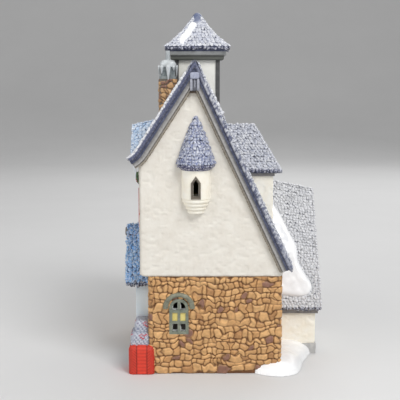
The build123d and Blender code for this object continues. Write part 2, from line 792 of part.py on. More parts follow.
with BuildPart() as oriel_roof:
    with BuildSketch(level(oriel_top)):
        bay_plan(oriel_radius + oriel_eave_out / 2)
    with BuildSketch(level(oriel_top + oriel_eave_height)):
        bay_plan(oriel_radius + oriel_eave_out)
    loft(ruled=True)
    with BuildSketch(level(oriel_top + oriel_eave_height)):
        bay_plan(oriel_radius + oriel_eave_out)
    with BuildSketch(level(oriel_top + oriel_eave_height + oriel_roof_rise)):
        bay_plan(oriel_tip)
    loft(ruled=True)

with BuildPart() as oriel_window_frame:
    with BuildSketch(end_plane(gable_near - oriel_radius + lancet_seat)):
        lancet(oriel_x, oriel_sill + lancet_sill, lancet_width, lancet_height, lancet_arch)
        lancet(oriel_x, oriel_sill + lancet_sill + lancet_bar, lancet_width - 2 * lancet_bar,
               lancet_height - 2 * lancet_bar, lancet_arch - lancet_bar, Mode.SUBTRACT)
    extrude(amount=lancet_seat + lancet_thick)
    add(oriel_bay.part, mode=Mode.SUBTRACT)

# Round-headed window
light_width = (side_window_width - 2 * side_window_frame_bar - side_window_glazing_bar) / 2

with BuildPart() as side_window_frame:
    with BuildSketch(end_plane(y_near + side_window_depth - side_window_proud)):
        round_headed(side_window_x, side_window_sill, side_window_width, side_window_height)
        round_headed(side_window_x, side_window_sill + side_window_frame_bar,
                     side_window_width - 2 * side_window_frame_bar,
                     side_window_height - 2 * side_window_frame_bar, Mode.SUBTRACT)
        rectangle_between(side_window_x - side_window_glazing_bar / 2,
                          side_window_x + side_window_glazing_bar / 2, side_window_sill,
                          side_window_sill + side_window_height - side_window_frame_bar / 2)
        for rail in side_window_rails:
            with Locations((side_window_x, rail)):
                Rectangle(side_window_width, side_window_glazing_bar)
    extrude(amount=side_window_depth)

with BuildPart() as side_window_hood:
    with BuildSketch(end_plane(y_near)):
        with Locations((side_window_x, hood_mould_height)):
            Circle(hood_mould_radius)
            Circle(hood_mould_radius - hood_mould_bar, mode=Mode.SUBTRACT)
        rectangle_between(side_window_x - hood_mould_radius, side_window_x + hood_mould_radius,
                          hood_mould_height, hood_mould_height + hood_mould_radius, Mode.INTERSECT)
    extrude(amount=hood_mould_proud)
    fillet(side_window_hood.faces().sort_by(Axis.Y)[0].edges(), hood_mould_bar / 4)

with BuildPart() as casement_frames:
    for plane in casement_planes.values():
        with BuildSketch(plane.offset(-casement_seat)):
            Rectangle(casement_width, casement_height)
            Rectangle(casement_width - 2 * casement_bar, casement_height - 2 * casement_bar,
                      mode=Mode.SUBTRACT)
        extrude(amount=casement_depth)
        with BuildSketch(plane.offset(casement_proud - casement_bar_depth)):
            Rectangle(casement_glazing_bar, casement_height - casement_bar)
            Rectangle(casement_width - casement_bar, casement_glazing_bar)
        extrude(amount=casement_bar_depth)

with BuildPart() as window_panes:
    with BuildSketch(end_plane(y_near + side_pane_thick)):
        with Locations((side_window_x, sum(side_window_rails) / 2)):
            with GridLocations(light_width + side_window_glazing_bar, 0, 2, 1):
                Rectangle(light_width,
                          side_window_rails[1] - side_window_rails[0] - side_window_glazing_bar)
    extrude(amount=side_pane_thick)
    for plane in casement_planes.values():
        with BuildSketch(plane.offset(casement_proud - casement_bar_depth)):
            Rectangle(casement_width - 2 * casement_bar, casement_height - 2 * casement_bar)
        extrude(amount=-casement_pane_thick)

# Rear dormer
dormer_ridge = dormer_wall_top + dormer_eave_height + dormer_roof_rise
dormer_eave = dormer_face + dormer_front_eave_out
hip_top = dormer_eave - dormer_hip_run

with BuildPart() as dormer_walls:
    with BuildSketch(long_plane(dormer_face - dormer_reach)):
        rectangle_between(dormer_y - dormer_half, dormer_y + dormer_half, storey_height, dormer_wall_top)
    extrude(amount=dormer_reach)
    add(house_mass.part, mode=Mode.SUBTRACT)
    cut_casement(casement_planes["dormer"], casement_seat)

with BuildPart() as dormer_eave_trim:
    with BuildSketch(long_plane(dormer_face - dormer_reach)):
        rectangle_between(dormer_y - dormer_half - dormer_trim_proud,
                          dormer_y + dormer_half + dormer_trim_proud,
                          dormer_wall_top - dormer_trim_height, dormer_wall_top)
    extrude(amount=dormer_reach + dormer_trim_proud)
    add(house_mass.part, mode=Mode.SUBTRACT)
    add(dormer_walls.part, mode=Mode.SUBTRACT)

with BuildPart() as dormer_roof:
    with BuildSketch(long_plane(dormer_face - dormer_reach)):
        roof_half = dormer_half + dormer_eave_out
        Polygon((dormer_y - roof_half + dormer_eave_inset, dormer_wall_top),
                (dormer_y + roof_half - dormer_eave_inset, dormer_wall_top),
                (dormer_y + roof_half, dormer_wall_top + dormer_eave_height),
                (dormer_y, dormer_ridge),
                (dormer_y - roof_half, dormer_wall_top + dormer_eave_height), align=None)
    extrude(amount=dormer_reach + dormer_front_eave_out)
    hip_plane = Plane(origin=(hip_top, dormer_y, dormer_ridge), x_dir=(0, 1, 0),
                      z_dir=(dormer_roof_rise, 0, dormer_hip_run))
    split(bisect_by=hip_plane, keep=Keep.BOTTOM)
    add(house_mass.part, mode=Mode.SUBTRACT)

# Rear wing
wing_root = ridge_x
wing_tail = wing_end + wing_verge_foot + overrun
wing_verge = Plane(origin=(wing_end + wing_verge_foot, wing_y, wing_eave_height), x_dir=(0, 1, 0),
                   z_dir=(wing_ridge_height - wing_eave_height, 0, wing_verge_foot - wing_verge_top))

with BuildPart() as wing_room:
    for station in (wing_root, wing_tail):
        with BuildSketch(long_plane(station)):
            wing_under(station)
    loft(ruled=True)

with BuildPart() as wing_foundation:
    with BuildSketch(level(0)):
        rectangle_between(x_rear, wing_end + wing_foundation_proud, wing_near - wing_foundation_proud,
                          wing_far + wing_foundation_proud)
        rectangle_between(x_rear - overrun, wing_end - wall, wing_near + wall, wing_far - wall,
                          Mode.SUBTRACT)
    extrude(amount=wing_foundation_height)

with BuildPart() as wing_side_walls:
    with BuildSketch(level(wing_foundation_height)):
        rectangle_between(x_rear, wing_end - wall, wing_near, wing_near + wall)
        rectangle_between(x_rear, wing_end - wall, wing_far - wall, wing_far)
    extrude(amount=wing_ridge_root)
    add(wing_room.part, mode=Mode.INTERSECT)
    add(house_mass.part, mode=Mode.SUBTRACT)

with BuildPart() as wing_end_wall:
    with BuildSketch(level(wing_foundation_height)):
        rectangle_between(wing_end - wall, wing_end, wing_near, wing_far)
    extrude(amount=wing_ridge_root)
    add(wing_room.part, mode=Mode.INTERSECT)
    cut_casement(casement_planes["wing"], wall + overrun)

with BuildPart() as wing_roof_near_slope:
    for station in (wing_root, wing_tail):
        with BuildSketch(long_plane(station)):
            wing_slab(station, -1, 0, roof_thick)
    loft(ruled=True)
    split(bisect_by=wing_verge, keep=Keep.BOTTOM)
    add(house_mass.part, mode=Mode.SUBTRACT)

with BuildPart() as wing_roof_far_slope:
    for station in (wing_root, wing_tail):
        with BuildSketch(long_plane(station)):
            wing_slab(station, 1, 0, roof_thick)
    loft(ruled=True)
    split(bisect_by=wing_verge, keep=Keep.BOTTOM)
    add(house_mass.part, mode=Mode.SUBTRACT)

with BuildPart() as wing_eave_trim:
    trim_top = wing_eave_height
    with BuildSketch(level(trim_top - wing_trim_height - roof_thick / 2)):
        rectangle_between(x_rear, wing_end + wing_verge_foot / 2, wing_near - wing_eave_out / 2, wing_near)
        rectangle_between(x_rear, wing_end + wing_verge_foot / 2, wing_far, wing_far + wing_eave_out / 2)
    extrude(amount=wing_trim_height + roof_thick)
    add(wing_roof_near_slope.part, mode=Mode.SUBTRACT)
    add(wing_roof_far_slope.part, mode=Mode.SUBTRACT)

with BuildPart() as wing_roof_snow:
    for station in (wing_root, wing_tail):
        with BuildSketch(long_plane(station)):
            wing_slab(station, -1, -wing_snow_thick, 0)
    loft(ruled=True)
    with BuildSketch(end_plane(wing_y)):
        with BuildLine():
            edge = [(x_rear + out_share * wing_out,
                     wing_snow_foot + up_share * (wing_snow_top - wing_snow_foot))
                    for out_share, up_share in wing_snow_edge_shares]
            Spline(*edge)
            Line(edge[-1], edge[0])
        make_face()
    extrude(amount=wing_half + wing_eave_out + overrun, mode=Mode.INTERSECT)
    add(house_mass.part, mode=Mode.SUBTRACT)
    add(dormer_walls.part, mode=Mode.SUBTRACT)

# Gablet on the street slope
gablet_verge = upper_front - gablet_out
gablet_ridge_height = eave_tip.Y + gablet_rise
gablet_half = gablet_rise / tan(radians(gablet_pitch))
gablet_way = (cos(radians(gablet_fall)), 0, sin(radians(gablet_fall)))

with BuildPart() as gablet_roof:
    with BuildSketch(long_plane(gablet_verge)):
        chevron(bay_y, gablet_half, gablet_ridge_height, gablet_pitch, gablet_thick)
    extrude(amount=ridge_x - gablet_verge, dir=gablet_way)
    split(bisect_by=level(eave_tip.Y), keep=Keep.TOP)
    add(house_mass.part, mode=Mode.SUBTRACT)

with BuildPart() as gablet_wall:
    with BuildSketch(long_plane(upper_front - gablet_wall_out)):
        chevron_under(bay_y, gablet_half - gablet_thick, gablet_ridge_height - gablet_thick,
                      tan(radians(gablet_pitch)), eave_tip.Y)
    extrude(amount=wall)
    add(house_mass.part, mode=Mode.SUBTRACT)
    add(gablet_roof.part, mode=Mode.SUBTRACT)

# Porch
hood_rise = tan(radians(hood_pitch))
hood_drop = hood_thick / cos(radians(hood_pitch))
hood_verge = upper_front - hood_out

with BuildPart() as porch_hood:
    with BuildSketch(long_plane(hood_verge)):
        chevron(bay_y, hood_half, hood_ridge_height, hood_pitch, hood_thick)
    extrude(amount=x_front - hood_verge)
    add(house_mass.part, mode=Mode.SUBTRACT)

with BuildPart() as porch_walls:
    with BuildSketch(long_plane(porch_front)):
        chevron_under(bay_y, porch_half, hood_ridge_height - hood_drop, hood_rise, 0)
        round_headed(bay_y, door_sill, door_width, door_height, Mode.SUBTRACT)
    extrude(amount=porch_out)
    add(house_mass.part, mode=Mode.SUBTRACT)

with BuildPart() as front_door:
    with BuildSketch(long_plane(porch_front + door_setback)):
        round_headed(bay_y, door_sill, door_width, door_height)
    extrude(amount=door_thick)
    with BuildSketch(long_plane(porch_front + door_setback)):
        with Locations((bay_y, door_sill + door_height / 2)):
            with GridLocations(door_width / 4, 0, 3, 1):
                Rectangle(door_groove, door_height + overrun)
    extrude(amount=door_groove, mode=Mode.SUBTRACT)
    with Locations((porch_front + door_setback, bay_y + door_width / 3, door_sill + door_height / 2)):
        Sphere(door_knob)

with BuildPart() as door_step:
    with BuildSketch(level(0)):
        rectangle_between(porch_front - step_out, porch_front, bay_y - step_half, bay_y + step_half)
    extrude(amount=door_sill)
    fillet(door_step.edges().filter_by(Axis.Z).group_by(Axis.X)[0], step_out / 2)

with BuildPart() as hood_ring:
    ring_height = hood_ridge_height - hood_drop / 2 - hood_ring_radius / 2
    with Locations(Location((hood_verge - hood_ring_bar, bay_y, ring_height), (0, 90, 0))):
        Torus(hood_ring_radius, hood_ring_bar)

# Shutters, garland and icicles of the street front
garland_height = casement_level + shutter_height / 2 + garland_gap + garland_radius + garland_sag

with BuildPart() as bay_shutters:
    shutter_spread = casement_width + 2 * shutter_gap + shutter_width
    with BuildSketch(outward_plane(upper_front, bay_y, casement_level, (-1, 0, 0))):
        with GridLocations(shutter_spread, 0, 2, 1):
            Rectangle(shutter_width, shutter_height)
    extrude(amount=shutter_thick)
    panel_height = (shutter_height - 3 * shutter_stile) / 2
    with BuildSketch(outward_plane(upper_front - shutter_thick, bay_y, casement_level, (-1, 0, 0))):
        with GridLocations(shutter_spread, panel_height + shutter_stile, 2, 2):
            Rectangle(shutter_width - 2 * shutter_stile, panel_height)
    extrude(amount=-shutter_panel_depth, mode=Mode.SUBTRACT)

with BuildPart() as bay_garland:
    garland_x = upper_front - garland_radius
    with BuildLine(Plane.YZ.offset(garland_x)) as garland_line:
        ThreePointArc((bay_y - garland_half, garland_height), (bay_y, garland_height - garland_sag),
                      (bay_y + garland_half, garland_height))
    with BuildSketch(Plane(origin=garland_line.line @ 0, z_dir=garland_line.line % 0)):
        Circle(garland_radius)
    sweep()

with BuildPart() as eave_icicles:
    icicle_down = Vector(-icicle_way.Y, icicle_way.X)
    icicle_seat = icicle_line + icicle_down * roof_thick
    icicle_step = 2 * (gable_far - overrun) / (len(icicle_shares) - 1)
    for place, length_share in enumerate(icicle_shares):
        length = icicle_longest * length_share
        middle = icicle_seat.Y + icicle_radius - length / 2
        with Locations((icicle_seat.X, place * icicle_step - gable_far + overrun, middle)):
            Cone(icicle_tip, icicle_radius, length)
    split(bisect_by=Plane(origin=(icicle_seat.X, 0, icicle_seat.Y), z_dir=(icicle_down.X, 0, icicle_down.Y)),
          keep=Keep.TOP)

# Folded woollens
wool_far = bay_y - porch_half

with BuildPart() as red_wool_bundle:
    with BuildSketch(level(0)):
        rectangle_between(x_front - red_wool_out, x_front + red_wool_wrap, y_near - red_wool_proud, wool_far)
    extrude(amount=red_wool_height)
    fillet(red_wool_bundle.edges().filter_by(Axis.Z).group_by(Axis.Y)[0], red_wool_round)
    fillet(red_wool_bundle.faces().sort_by(Axis.Z)[-1].edges(), red_wool_round / 2)
    add(stone_wall_near.part, mode=Mode.SUBTRACT)
    add(house_mass.part, mode=Mode.SUBTRACT)

with BuildPart() as grey_wool_stack:
    for layer in range(2):
        with BuildSketch(level(red_wool_height + layer * grey_wool_layer)):
            rectangle_between(x_front - grey_wool_out + layer * grey_wool_shrink, x_front,
                              y_near - red_wool_proud + (layer + 1) * grey_wool_setback, wool_far)
        extrude(amount=grey_wool_layer)
        layer_top = grey_wool_stack.faces().sort_by(Axis.Z)[-1]
        fillet(layer_top.edges().sort_by(Axis.X)[0], grey_wool_round)
    add(house_mass.part, mode=Mode.SUBTRACT)
    add(stone_wall_near.part, mode=Mode.SUBTRACT)

# Ground snow
with BuildPart() as ground_snow:
    for spread_share, height_share in drift_section_shares:
        with BuildSketch(level(drift_height * height_share)):
            with BuildLine():
                edge = []
                for out_share, along_share in drift_edge_shares:
                    focus_out, focus_along = drift_focus_shares
                    out = focus_out + spread_share * (out_share - focus_out)
                    along = focus_along + spread_share * (along_share - focus_along)
                    edge.append((x_rear + out * drift_out, wing_near + along * drift_run))
                Spline(*edge, periodic=True)
            make_face()
    loft()
    add(house_mass.part, mode=Mode.SUBTRACT)
    with BuildSketch(level(0)):
        rectangle_between(x_rear, wing_end + wing_foundation_proud, wing_near - wing_foundation_proud,
                          wing_far)
    extrude(amount=drift_height + overrun, mode=Mode.SUBTRACT)

# Raised stones on the four stone walls, clear of what stands against them
stone_faces = [
    (end_plane(y_near), x_front + quoin_radius, x_rear - quoin_radius),
    (outward_plane(0, y_far, 0, (0, 1, 0)), x_front + quoin_radius, x_rear - quoin_radius),
    (outward_plane(x_front, 0, 0, (-1, 0, 0)), quoin_radius - y_far, -bay_y - porch_half - stone_joint),
    (outward_plane(x_rear, 0, 0, (1, 0, 0)), y_near + quoin_radius,
     wing_near - wing_eave_out - stone_joint),
    (outward_plane(x_rear, 0, 0, (1, 0, 0)), wing_far + wing_eave_out + stone_joint,
     y_far - quoin_radius),
]

with BuildPart() as stone_courses:
    for plane, left, right in stone_faces:
        with BuildSketch(plane):
            rectangle_between(left, right, stone_joint / 2, storey_height)
        extrude(amount=stone_coat)
        with BuildSketch(plane.offset(stone_coat)):
            lay_stones(left, right)
        extrude(amount=stone_proud)
    with BuildSketch(end_plane(y_near)):
        with Locations((side_window_x, hood_mould_height)):
            Circle(hood_mould_radius)
        rectangle_between(side_window_x - hood_mould_radius, side_window_x + hood_mould_radius,
                          hood_mould_height, hood_mould_height + hood_mould_radius, Mode.INTERSECT)
        round_headed(side_window_x, side_window_sill, side_window_width, side_window_height)
    extrude(amount=overrun, mode=Mode.SUBTRACT)
    with BuildSketch(outward_plane(0, y_far, 0, (0, 1, 0))):
        with Locations((0, lamp_hole_height)):
            Circle(lamp_hole_radius + stone_joint)
    extrude(amount=overrun, mode=Mode.SUBTRACT)
    with BuildSketch(casement_planes["street low"]):
        Rectangle(casement_width, casement_height)
    extrude(amount=overrun, mode=Mode.SUBTRACT)
    for neighbour in (porch_hood, red_wool_bundle, ground_snow):
        add(neighbour.part, mode=Mode.SUBTRACT)

# Lapped shingle courses on the two main slopes, clear of what stands on them
with BuildPart() as shingle_courses:
    with BuildSketch(end_plane(verge_far)):
        lapped_courses(rear_eave_out, rear_seat, rear_normal)
    extrude(amount=2 * verge_far)
    with BuildSketch(end_plane(verge_far - verge_snow_width)):
        lapped_courses(knee, front_seat, front_normal)
    extrude(amount=2 * (verge_far - verge_snow_width))
    with BuildSketch(level(tower_foot)):
        with Locations((tower_x, tower_y)):
            Rectangle(tower_width + 2 * tower_post_proud, tower_width + 2 * tower_post_proud)
    extrude(amount=tower_top - tower_foot, mode=Mode.SUBTRACT)
    with BuildSketch(long_plane(gablet_verge)):
        chevron_under(bay_y, gablet_half, gablet_ridge_height, tan(radians(gablet_pitch)), eave_tip.Y)
    extrude(amount=ridge_x - gablet_verge, dir=gablet_way, mode=Mode.SUBTRACT)
    for station in (wing_root, wing_tail):
        with BuildSketch(long_plane(station)):
            wing_outline(station)
    loft(ruled=True, mode=Mode.SUBTRACT)
    for neighbour in (chimney_stack, dormer_walls, dormer_eave_trim, dormer_roof, wing_roof_snow):
        add(neighbour.part, mode=Mode.SUBTRACT)

pieces = {
    "base_plate": base_plate,
    "stone_wall_near": stone_wall_near,
    "stone_wall_far": stone_wall_far,
    "stone_wall_front": stone_wall_front,
    "stone_wall_rear": stone_wall_rear,
    "stone_courses": stone_courses,
    "gable_wall_near": gable_wall_near,
    "gable_wall_far": gable_wall_far,
    "stucco_wall_front": stucco_wall_front,
    "main_roof_front_slope": main_roof_front_slope,
    "main_roof_rear_slope": main_roof_rear_slope,
    "shingle_courses": shingle_courses,
    "main_ridge_cap": main_ridge_cap,
    "verge_snow": verge_snow,
    "near_front_bargeboard": near_front_bargeboard,
    "near_rear_bargeboard": near_rear_bargeboard,
    "far_front_bargeboard": far_front_bargeboard,
    "far_rear_bargeboard": far_rear_bargeboard,
    "gable_king_posts": gable_king_posts,
    "tower_shaft": tower_shaft,
    "tower_posts": tower_posts,
    "tower_cornice": tower_cornice,
    "tower_roof": tower_roof,
    "tower_finial": tower_finial,
    "chimney_stack": chimney_stack,
    "chimney_crown": chimney_crown,
    "chimney_pot": chimney_pot,
    "chimney_snow": chimney_snow,
    "oriel_bay": oriel_bay,
    "oriel_corbel": oriel_corbel,
    "oriel_roof": oriel_roof,
    "oriel_window_frame": oriel_window_frame,
    "side_window_frame": side_window_frame,
    "side_window_hood": side_window_hood,
    "window_panes": window_panes,
    "casement_frames": casement_frames,
    "dormer_walls": dormer_walls,
    "dormer_eave_trim": dormer_eave_trim,
    "dormer_roof": dormer_roof,
    "wing_foundation": wing_foundation,
    "wing_side_walls": wing_side_walls,
    "wing_end_wall": wing_end_wall,
    "wing_roof_near_slope": wing_roof_near_slope,
    "wing_roof_far_slope": wing_roof_far_slope,
    "wing_eave_trim": wing_eave_trim,
    "wing_roof_snow": wing_roof_snow,
    "gablet_roof": gablet_roof,
    "gablet_wall": gablet_wall,
    "porch_hood": porch_hood,
    "porch_walls": porch_walls,
    "front_door": front_door,
    "door_step": door_step,
    "hood_ring": hood_ring,
    "bay_shutters": bay_shutters,
    "bay_garland": bay_garland,
    "eave_icicles": eave_icicles,
    "red_wool_bundle": red_wool_bundle,
    "grey_wool_stack": grey_wool_stack,
    "ground_snow": ground_snow,
}

os.makedirs("parts", exist_ok=True)
for label, piece in pieces.items():
    piece.part.label = label
    export_step(piece.part, f"parts/{label}.step")
    print(label, len(piece.part.solids()), round(piece.part.volume))
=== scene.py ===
import bmesh
import bpy
import math
import numpy as np
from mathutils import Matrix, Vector
from mathutils.bvhtree import BVHTree
from mathutils.geometry import tessellate_polygon


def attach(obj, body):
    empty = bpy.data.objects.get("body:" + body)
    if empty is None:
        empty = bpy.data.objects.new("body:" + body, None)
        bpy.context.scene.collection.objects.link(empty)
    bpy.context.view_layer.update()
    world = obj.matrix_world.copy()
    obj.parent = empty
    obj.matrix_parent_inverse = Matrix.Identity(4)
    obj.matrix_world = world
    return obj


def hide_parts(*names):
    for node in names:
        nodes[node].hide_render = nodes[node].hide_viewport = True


# Dressed ceramic winter house. Lengths below are millimetres in the CAD frame, and each mesh is
# turned into metres when it is made.

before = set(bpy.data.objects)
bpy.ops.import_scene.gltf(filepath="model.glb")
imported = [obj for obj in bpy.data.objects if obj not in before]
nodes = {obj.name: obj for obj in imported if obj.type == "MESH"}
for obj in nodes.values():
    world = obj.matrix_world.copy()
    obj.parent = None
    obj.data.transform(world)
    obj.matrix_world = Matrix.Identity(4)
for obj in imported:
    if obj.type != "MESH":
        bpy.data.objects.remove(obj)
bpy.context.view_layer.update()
MM = 0.001

# Sizes shared with the CAD model
X_FRONT, X_REAR, Y_NEAR, Y_FAR = -38.5, 38.5, -58.0, 58.0
STOREY = 58.5
UPPER_FRONT, UPPER_REAR, GABLE = -43.6, 39.5, 59.5
VERGE = 64.0
RIDGE_X = -11.5
FRONT_PITCH, REAR_PITCH = math.radians(57.2), math.radians(64.8)
FRONT_RISE, REAR_RISE = math.tan(FRONT_PITCH), math.tan(REAR_PITCH)
FRONT_OUT = np.array([-math.sin(FRONT_PITCH), 0, math.cos(FRONT_PITCH)])
REAR_OUT = np.array([math.sin(REAR_PITCH), 0, math.cos(REAR_PITCH)])
ROOF_THICK, EAVE_LIFT = 3.6, 4.5
REAR_FOOT_Z = STOREY + EAVE_LIFT
EAVE_UNDER = UPPER_REAR + 3.4 / REAR_OUT[0]
RIDGE_Z = STOREY + REAR_RISE * (EAVE_UNDER - RIDGE_X) + ROOF_THICK / REAR_OUT[2]
REAR_EAVE = np.array([EAVE_UNDER - EAVE_LIFT / REAR_RISE, 0, REAR_FOOT_Z]) + ROOF_THICK * REAR_OUT
KNEE_X = UPPER_FRONT - 0.6
KNEE = np.array([KNEE_X, 0, RIDGE_Z - FRONT_RISE * (RIDGE_X - KNEE_X)])
FLARE_RADIUS, FLARE_TURN, FLARE_START = 14.0, 29.0, -61.8
CASEMENT, CASEMENT_Z = (9.6, 14.0), 96.0
WINDOW_X, WINDOW_SILL = -21.2, 23.8
BAY_Y = -28.0
HOOD_X, HOOD_TOP, HOOD_HALF = UPPER_FRONT - 9.4, STOREY + 25.5, 18.0
HOOD_FOOT = HOOD_TOP - HOOD_HALF * math.tan(math.radians(61.0))
GABLET_X, GABLET_FOOT, GABLET_RISE = UPPER_FRONT - 6.0, 127.96, 16.8
GABLET_TOP, GABLET_HALF = GABLET_FOOT + GABLET_RISE, GABLET_RISE / math.tan(math.radians(48.0))
GABLET_FALL = math.radians(12.0)
WING_Y, WING_HALF, WING_EAVE_Z, WING_EAVE_X, WING_EDGE_X = 8.0, 31.0, 30.2, 67.2, 64.1
WING_RIDGE_Z, WING_RIDGE_FALL, WING_WALL_X, WING_WALL_HALF = 106.6, 0.2, 63.5, 27.0
DORMER_Y, DORMER_HALF, DORMER_EAVE_Z, DORMER_RIDGE_Z = -22.0, 19.0, 119.0, 144.6
DORMER_EAVE_X, DORMER_HIP_X, DORMER_WALL_X, DORMER_WALL_HALF = 39.1, 24.0, 34.4, 16.0
TOWER_X, TOWER_Y, TOWER_EAVE_Z = RIDGE_X + 0.9, 13.5, RIDGE_Z + 9.0
TOWER_HALF, TOWER_RISE = 20.1, 20.4
BELL = np.polyfit([0.0, 0.2, 0.52, 0.78, 1.0], [1.0, 0.74, 0.43, 0.22, 2.2 / 40.2], 4)
CHIMNEY_X, CHIMNEY_Y, CHIMNEY_TOP = RIDGE_X - 17.2, -10.0, RIDGE_Z - 10.9
ORIEL_X, ORIEL_RADIUS, ORIEL_RISE, ORIEL_BRIM = RIDGE_X + 0.3, 8.2, 27.0, 3.2
ORIEL_TOP = RIDGE_Z - 7.0 / math.cos(FRONT_PITCH) - 19.1 - ORIEL_RISE - ORIEL_BRIM
ORIEL_SILL = ORIEL_TOP - 16.4
UP, STREETWARDS = (0, 0, 1), (-1, 0, 0)
SIDES = ((-1, "near"), (1, "far"))

# Sizes of the facings and their openings
FAR_CASEMENT_Y, LOWER_CASEMENT_Z = 27.0, 30.0
WINDOW_WIDTH, WINDOW_HEIGHT = 11.4, 21.4
LAMP_HOLE_Z, LAMP_HOLE_RADIUS = 27.0, 16.0
PORCH_MIDDLE_Z, PORCH_WIDTH, PORCH_HEIGHT = 24.0, 22.0, 60.0
WING_MIDDLE_Z, WING_WIDTH, WING_HEIGHT = 12.0, 50.0, 50.0
DORMER_LEVELS, DORMER_MIDDLE_Z, DORMER_FACE_HEIGHT = (86, 117), 101.3, 30.4
DORMER_CASEMENT_Z, WING_CASEMENT_Z = 103.5, 34.0


# Numbers and noise

def tone(red, green, blue):
    """Linear colour of a written screen colour."""
    values = np.array([red, green, blue], float) / 255
    return np.where(values <= 0.04045, values / 12.92, ((values + 0.055) / 1.055) ** 2.4)


def tones(*colours):
    """Linear colours of several written screen colours."""
    return [tone(*colour) for colour in colours]


def blend(first, second, share):
    """Mix of two values or paints by the share of the second."""
    return first * (1 - share) + second * share


def smooth(low, high, value):
    """Soft step from 0 at low to 1 at high."""
    share = np.clip((value - low) / (high - low), 0, 1)
    return share * share * (3 - 2 * share)


def hashed(i, j, seed):
    """Number from -1 to 1 for each whole place."""
    n = (i * 374761393 + j * 668265263 + seed * 974634221) & 0xFFFFFFFF
    n = ((n ^ (n >> 13)) * 1274126177) & 0xFFFFFFFF
    return ((n ^ (n >> 16)) & 0xFFFF) / 32767.5 - 1


def noise2(x, y, seed):
    """Smooth noise from -1 to 1 with features about one unit wide."""
    x, y = np.asarray(x, float), np.asarray(y, float)
    i, j = np.floor(x).astype(np.int64), np.floor(y).astype(np.int64)
    u, v = smooth(0, 1, x - i), smooth(0, 1, y - j)
    low = blend(hashed(i, j, seed), hashed(i + 1, j, seed), u)
    high = blend(hashed(i, j + 1, seed), hashed(i + 1, j + 1, seed), u)
    return blend(low, high, v)


def cloud(x, y, seed):
    """Three layers of noise, each finer and weaker."""
    return sum(noise2(x * 2 ** layer, y * 2 ** layer, seed + layer) / 2 ** layer for layer in range(3))


# Meshes

def make(name, shape, material, replaces=(), sharp=None, closed=False):
    """Piece from points in millimetres, faces and maybe a paint for each point, riding on the one body."""
    points, faces, *paint = shape
    mesh = bpy.data.meshes.new(name)
    mesh.from_pydata((np.asarray(points, float) * MM).tolist(), [], [list(map(int, f)) for f in faces])
    mesh.validate()
    if closed:
        shell = bmesh.new()
        shell.from_mesh(mesh)
        bmesh.ops.recalc_face_normals(shell, faces=shell.faces)
        shell.to_mesh(mesh)
        shell.free()
    if paint:
        layer = mesh.color_attributes.new("paint", "FLOAT_COLOR", "POINT")
        full = np.ones((len(mesh.vertices), 4), np.float32)
        full[:, :3] = np.clip(paint[0], 0, 1)
        layer.data.foreach_set("color", full.ravel())
    mesh.polygons.foreach_set("use_smooth", [True] * len(mesh.polygons))
    if sharp:
        mesh.set_sharp_from_angle(angle=math.radians(sharp))
    piece = bpy.data.objects.new(name, mesh)
    bpy.context.scene.collection.objects.link(piece)
    mesh.materials.append(material)
    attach(piece, "root")
    if replaces:
        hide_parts(*replaces)


def polygon_distance(u, v, corners):
    """Signed distance to a closed outline, below zero inside."""
    corners = np.asarray(corners, float)
    p = np.stack([np.ravel(u), np.ravel(v)], 1)
    best = np.full(len(p), 1e9)
    inside = np.zeros(len(p), bool)
    for a, b in zip(corners, np.roll(corners, -1, 0)):
        d = b - a
        t = np.clip(((p - a) @ d) / max(d @ d, 1e-12), 0, 1)
        best = np.minimum(best, np.hypot(*(p - a - t[:, None] * d).T))
        cross = ((a[1] > p[:, 1]) != (b[1] > p[:, 1]))
        with np.errstate(divide="ignore", invalid="ignore"):
            at = a[0] + (p[:, 1] - a[1]) / (b[1] - a[1]) * d[0]
        inside ^= cross & (p[:, 0] < at)
    return np.where(inside, -best, best).reshape(np.shape(u))


def rounded_curve(points, count):
    """Closed smooth outline through points."""
    p = np.asarray(points, float)
    out = []
    for k in range(len(p)):
        a, b, c, d = p[k - 1], p[k], p[(k + 1) % len(p)], p[(k + 2) % len(p)]
        for t in np.arange(count) / count:
            out.append(0.5 * (2 * b + (c - a) * t + (2 * a - 5 * b + 4 * c - d) * t ** 2
                              + (3 * b - a - 3 * c + d) * t ** 3))
    return np.array(out)


def arch_distance(u, v, middle, sill, width, height):
    """Signed distance to a round-headed outline, below zero inside."""
    spring = sill + height - width / 2
    box = np.maximum(np.abs(u - middle) - width / 2, np.maximum(sill - v, v - spring))
    return np.minimum(box, np.hypot(u - middle, v - spring) - width / 2)


def rectangle_distance(u, v, middle, height_middle, width, height):
    """Signed distance to a rectangle, below zero inside."""
    return np.maximum(np.abs(u - middle) - width / 2, np.abs(v - height_middle) - height / 2)


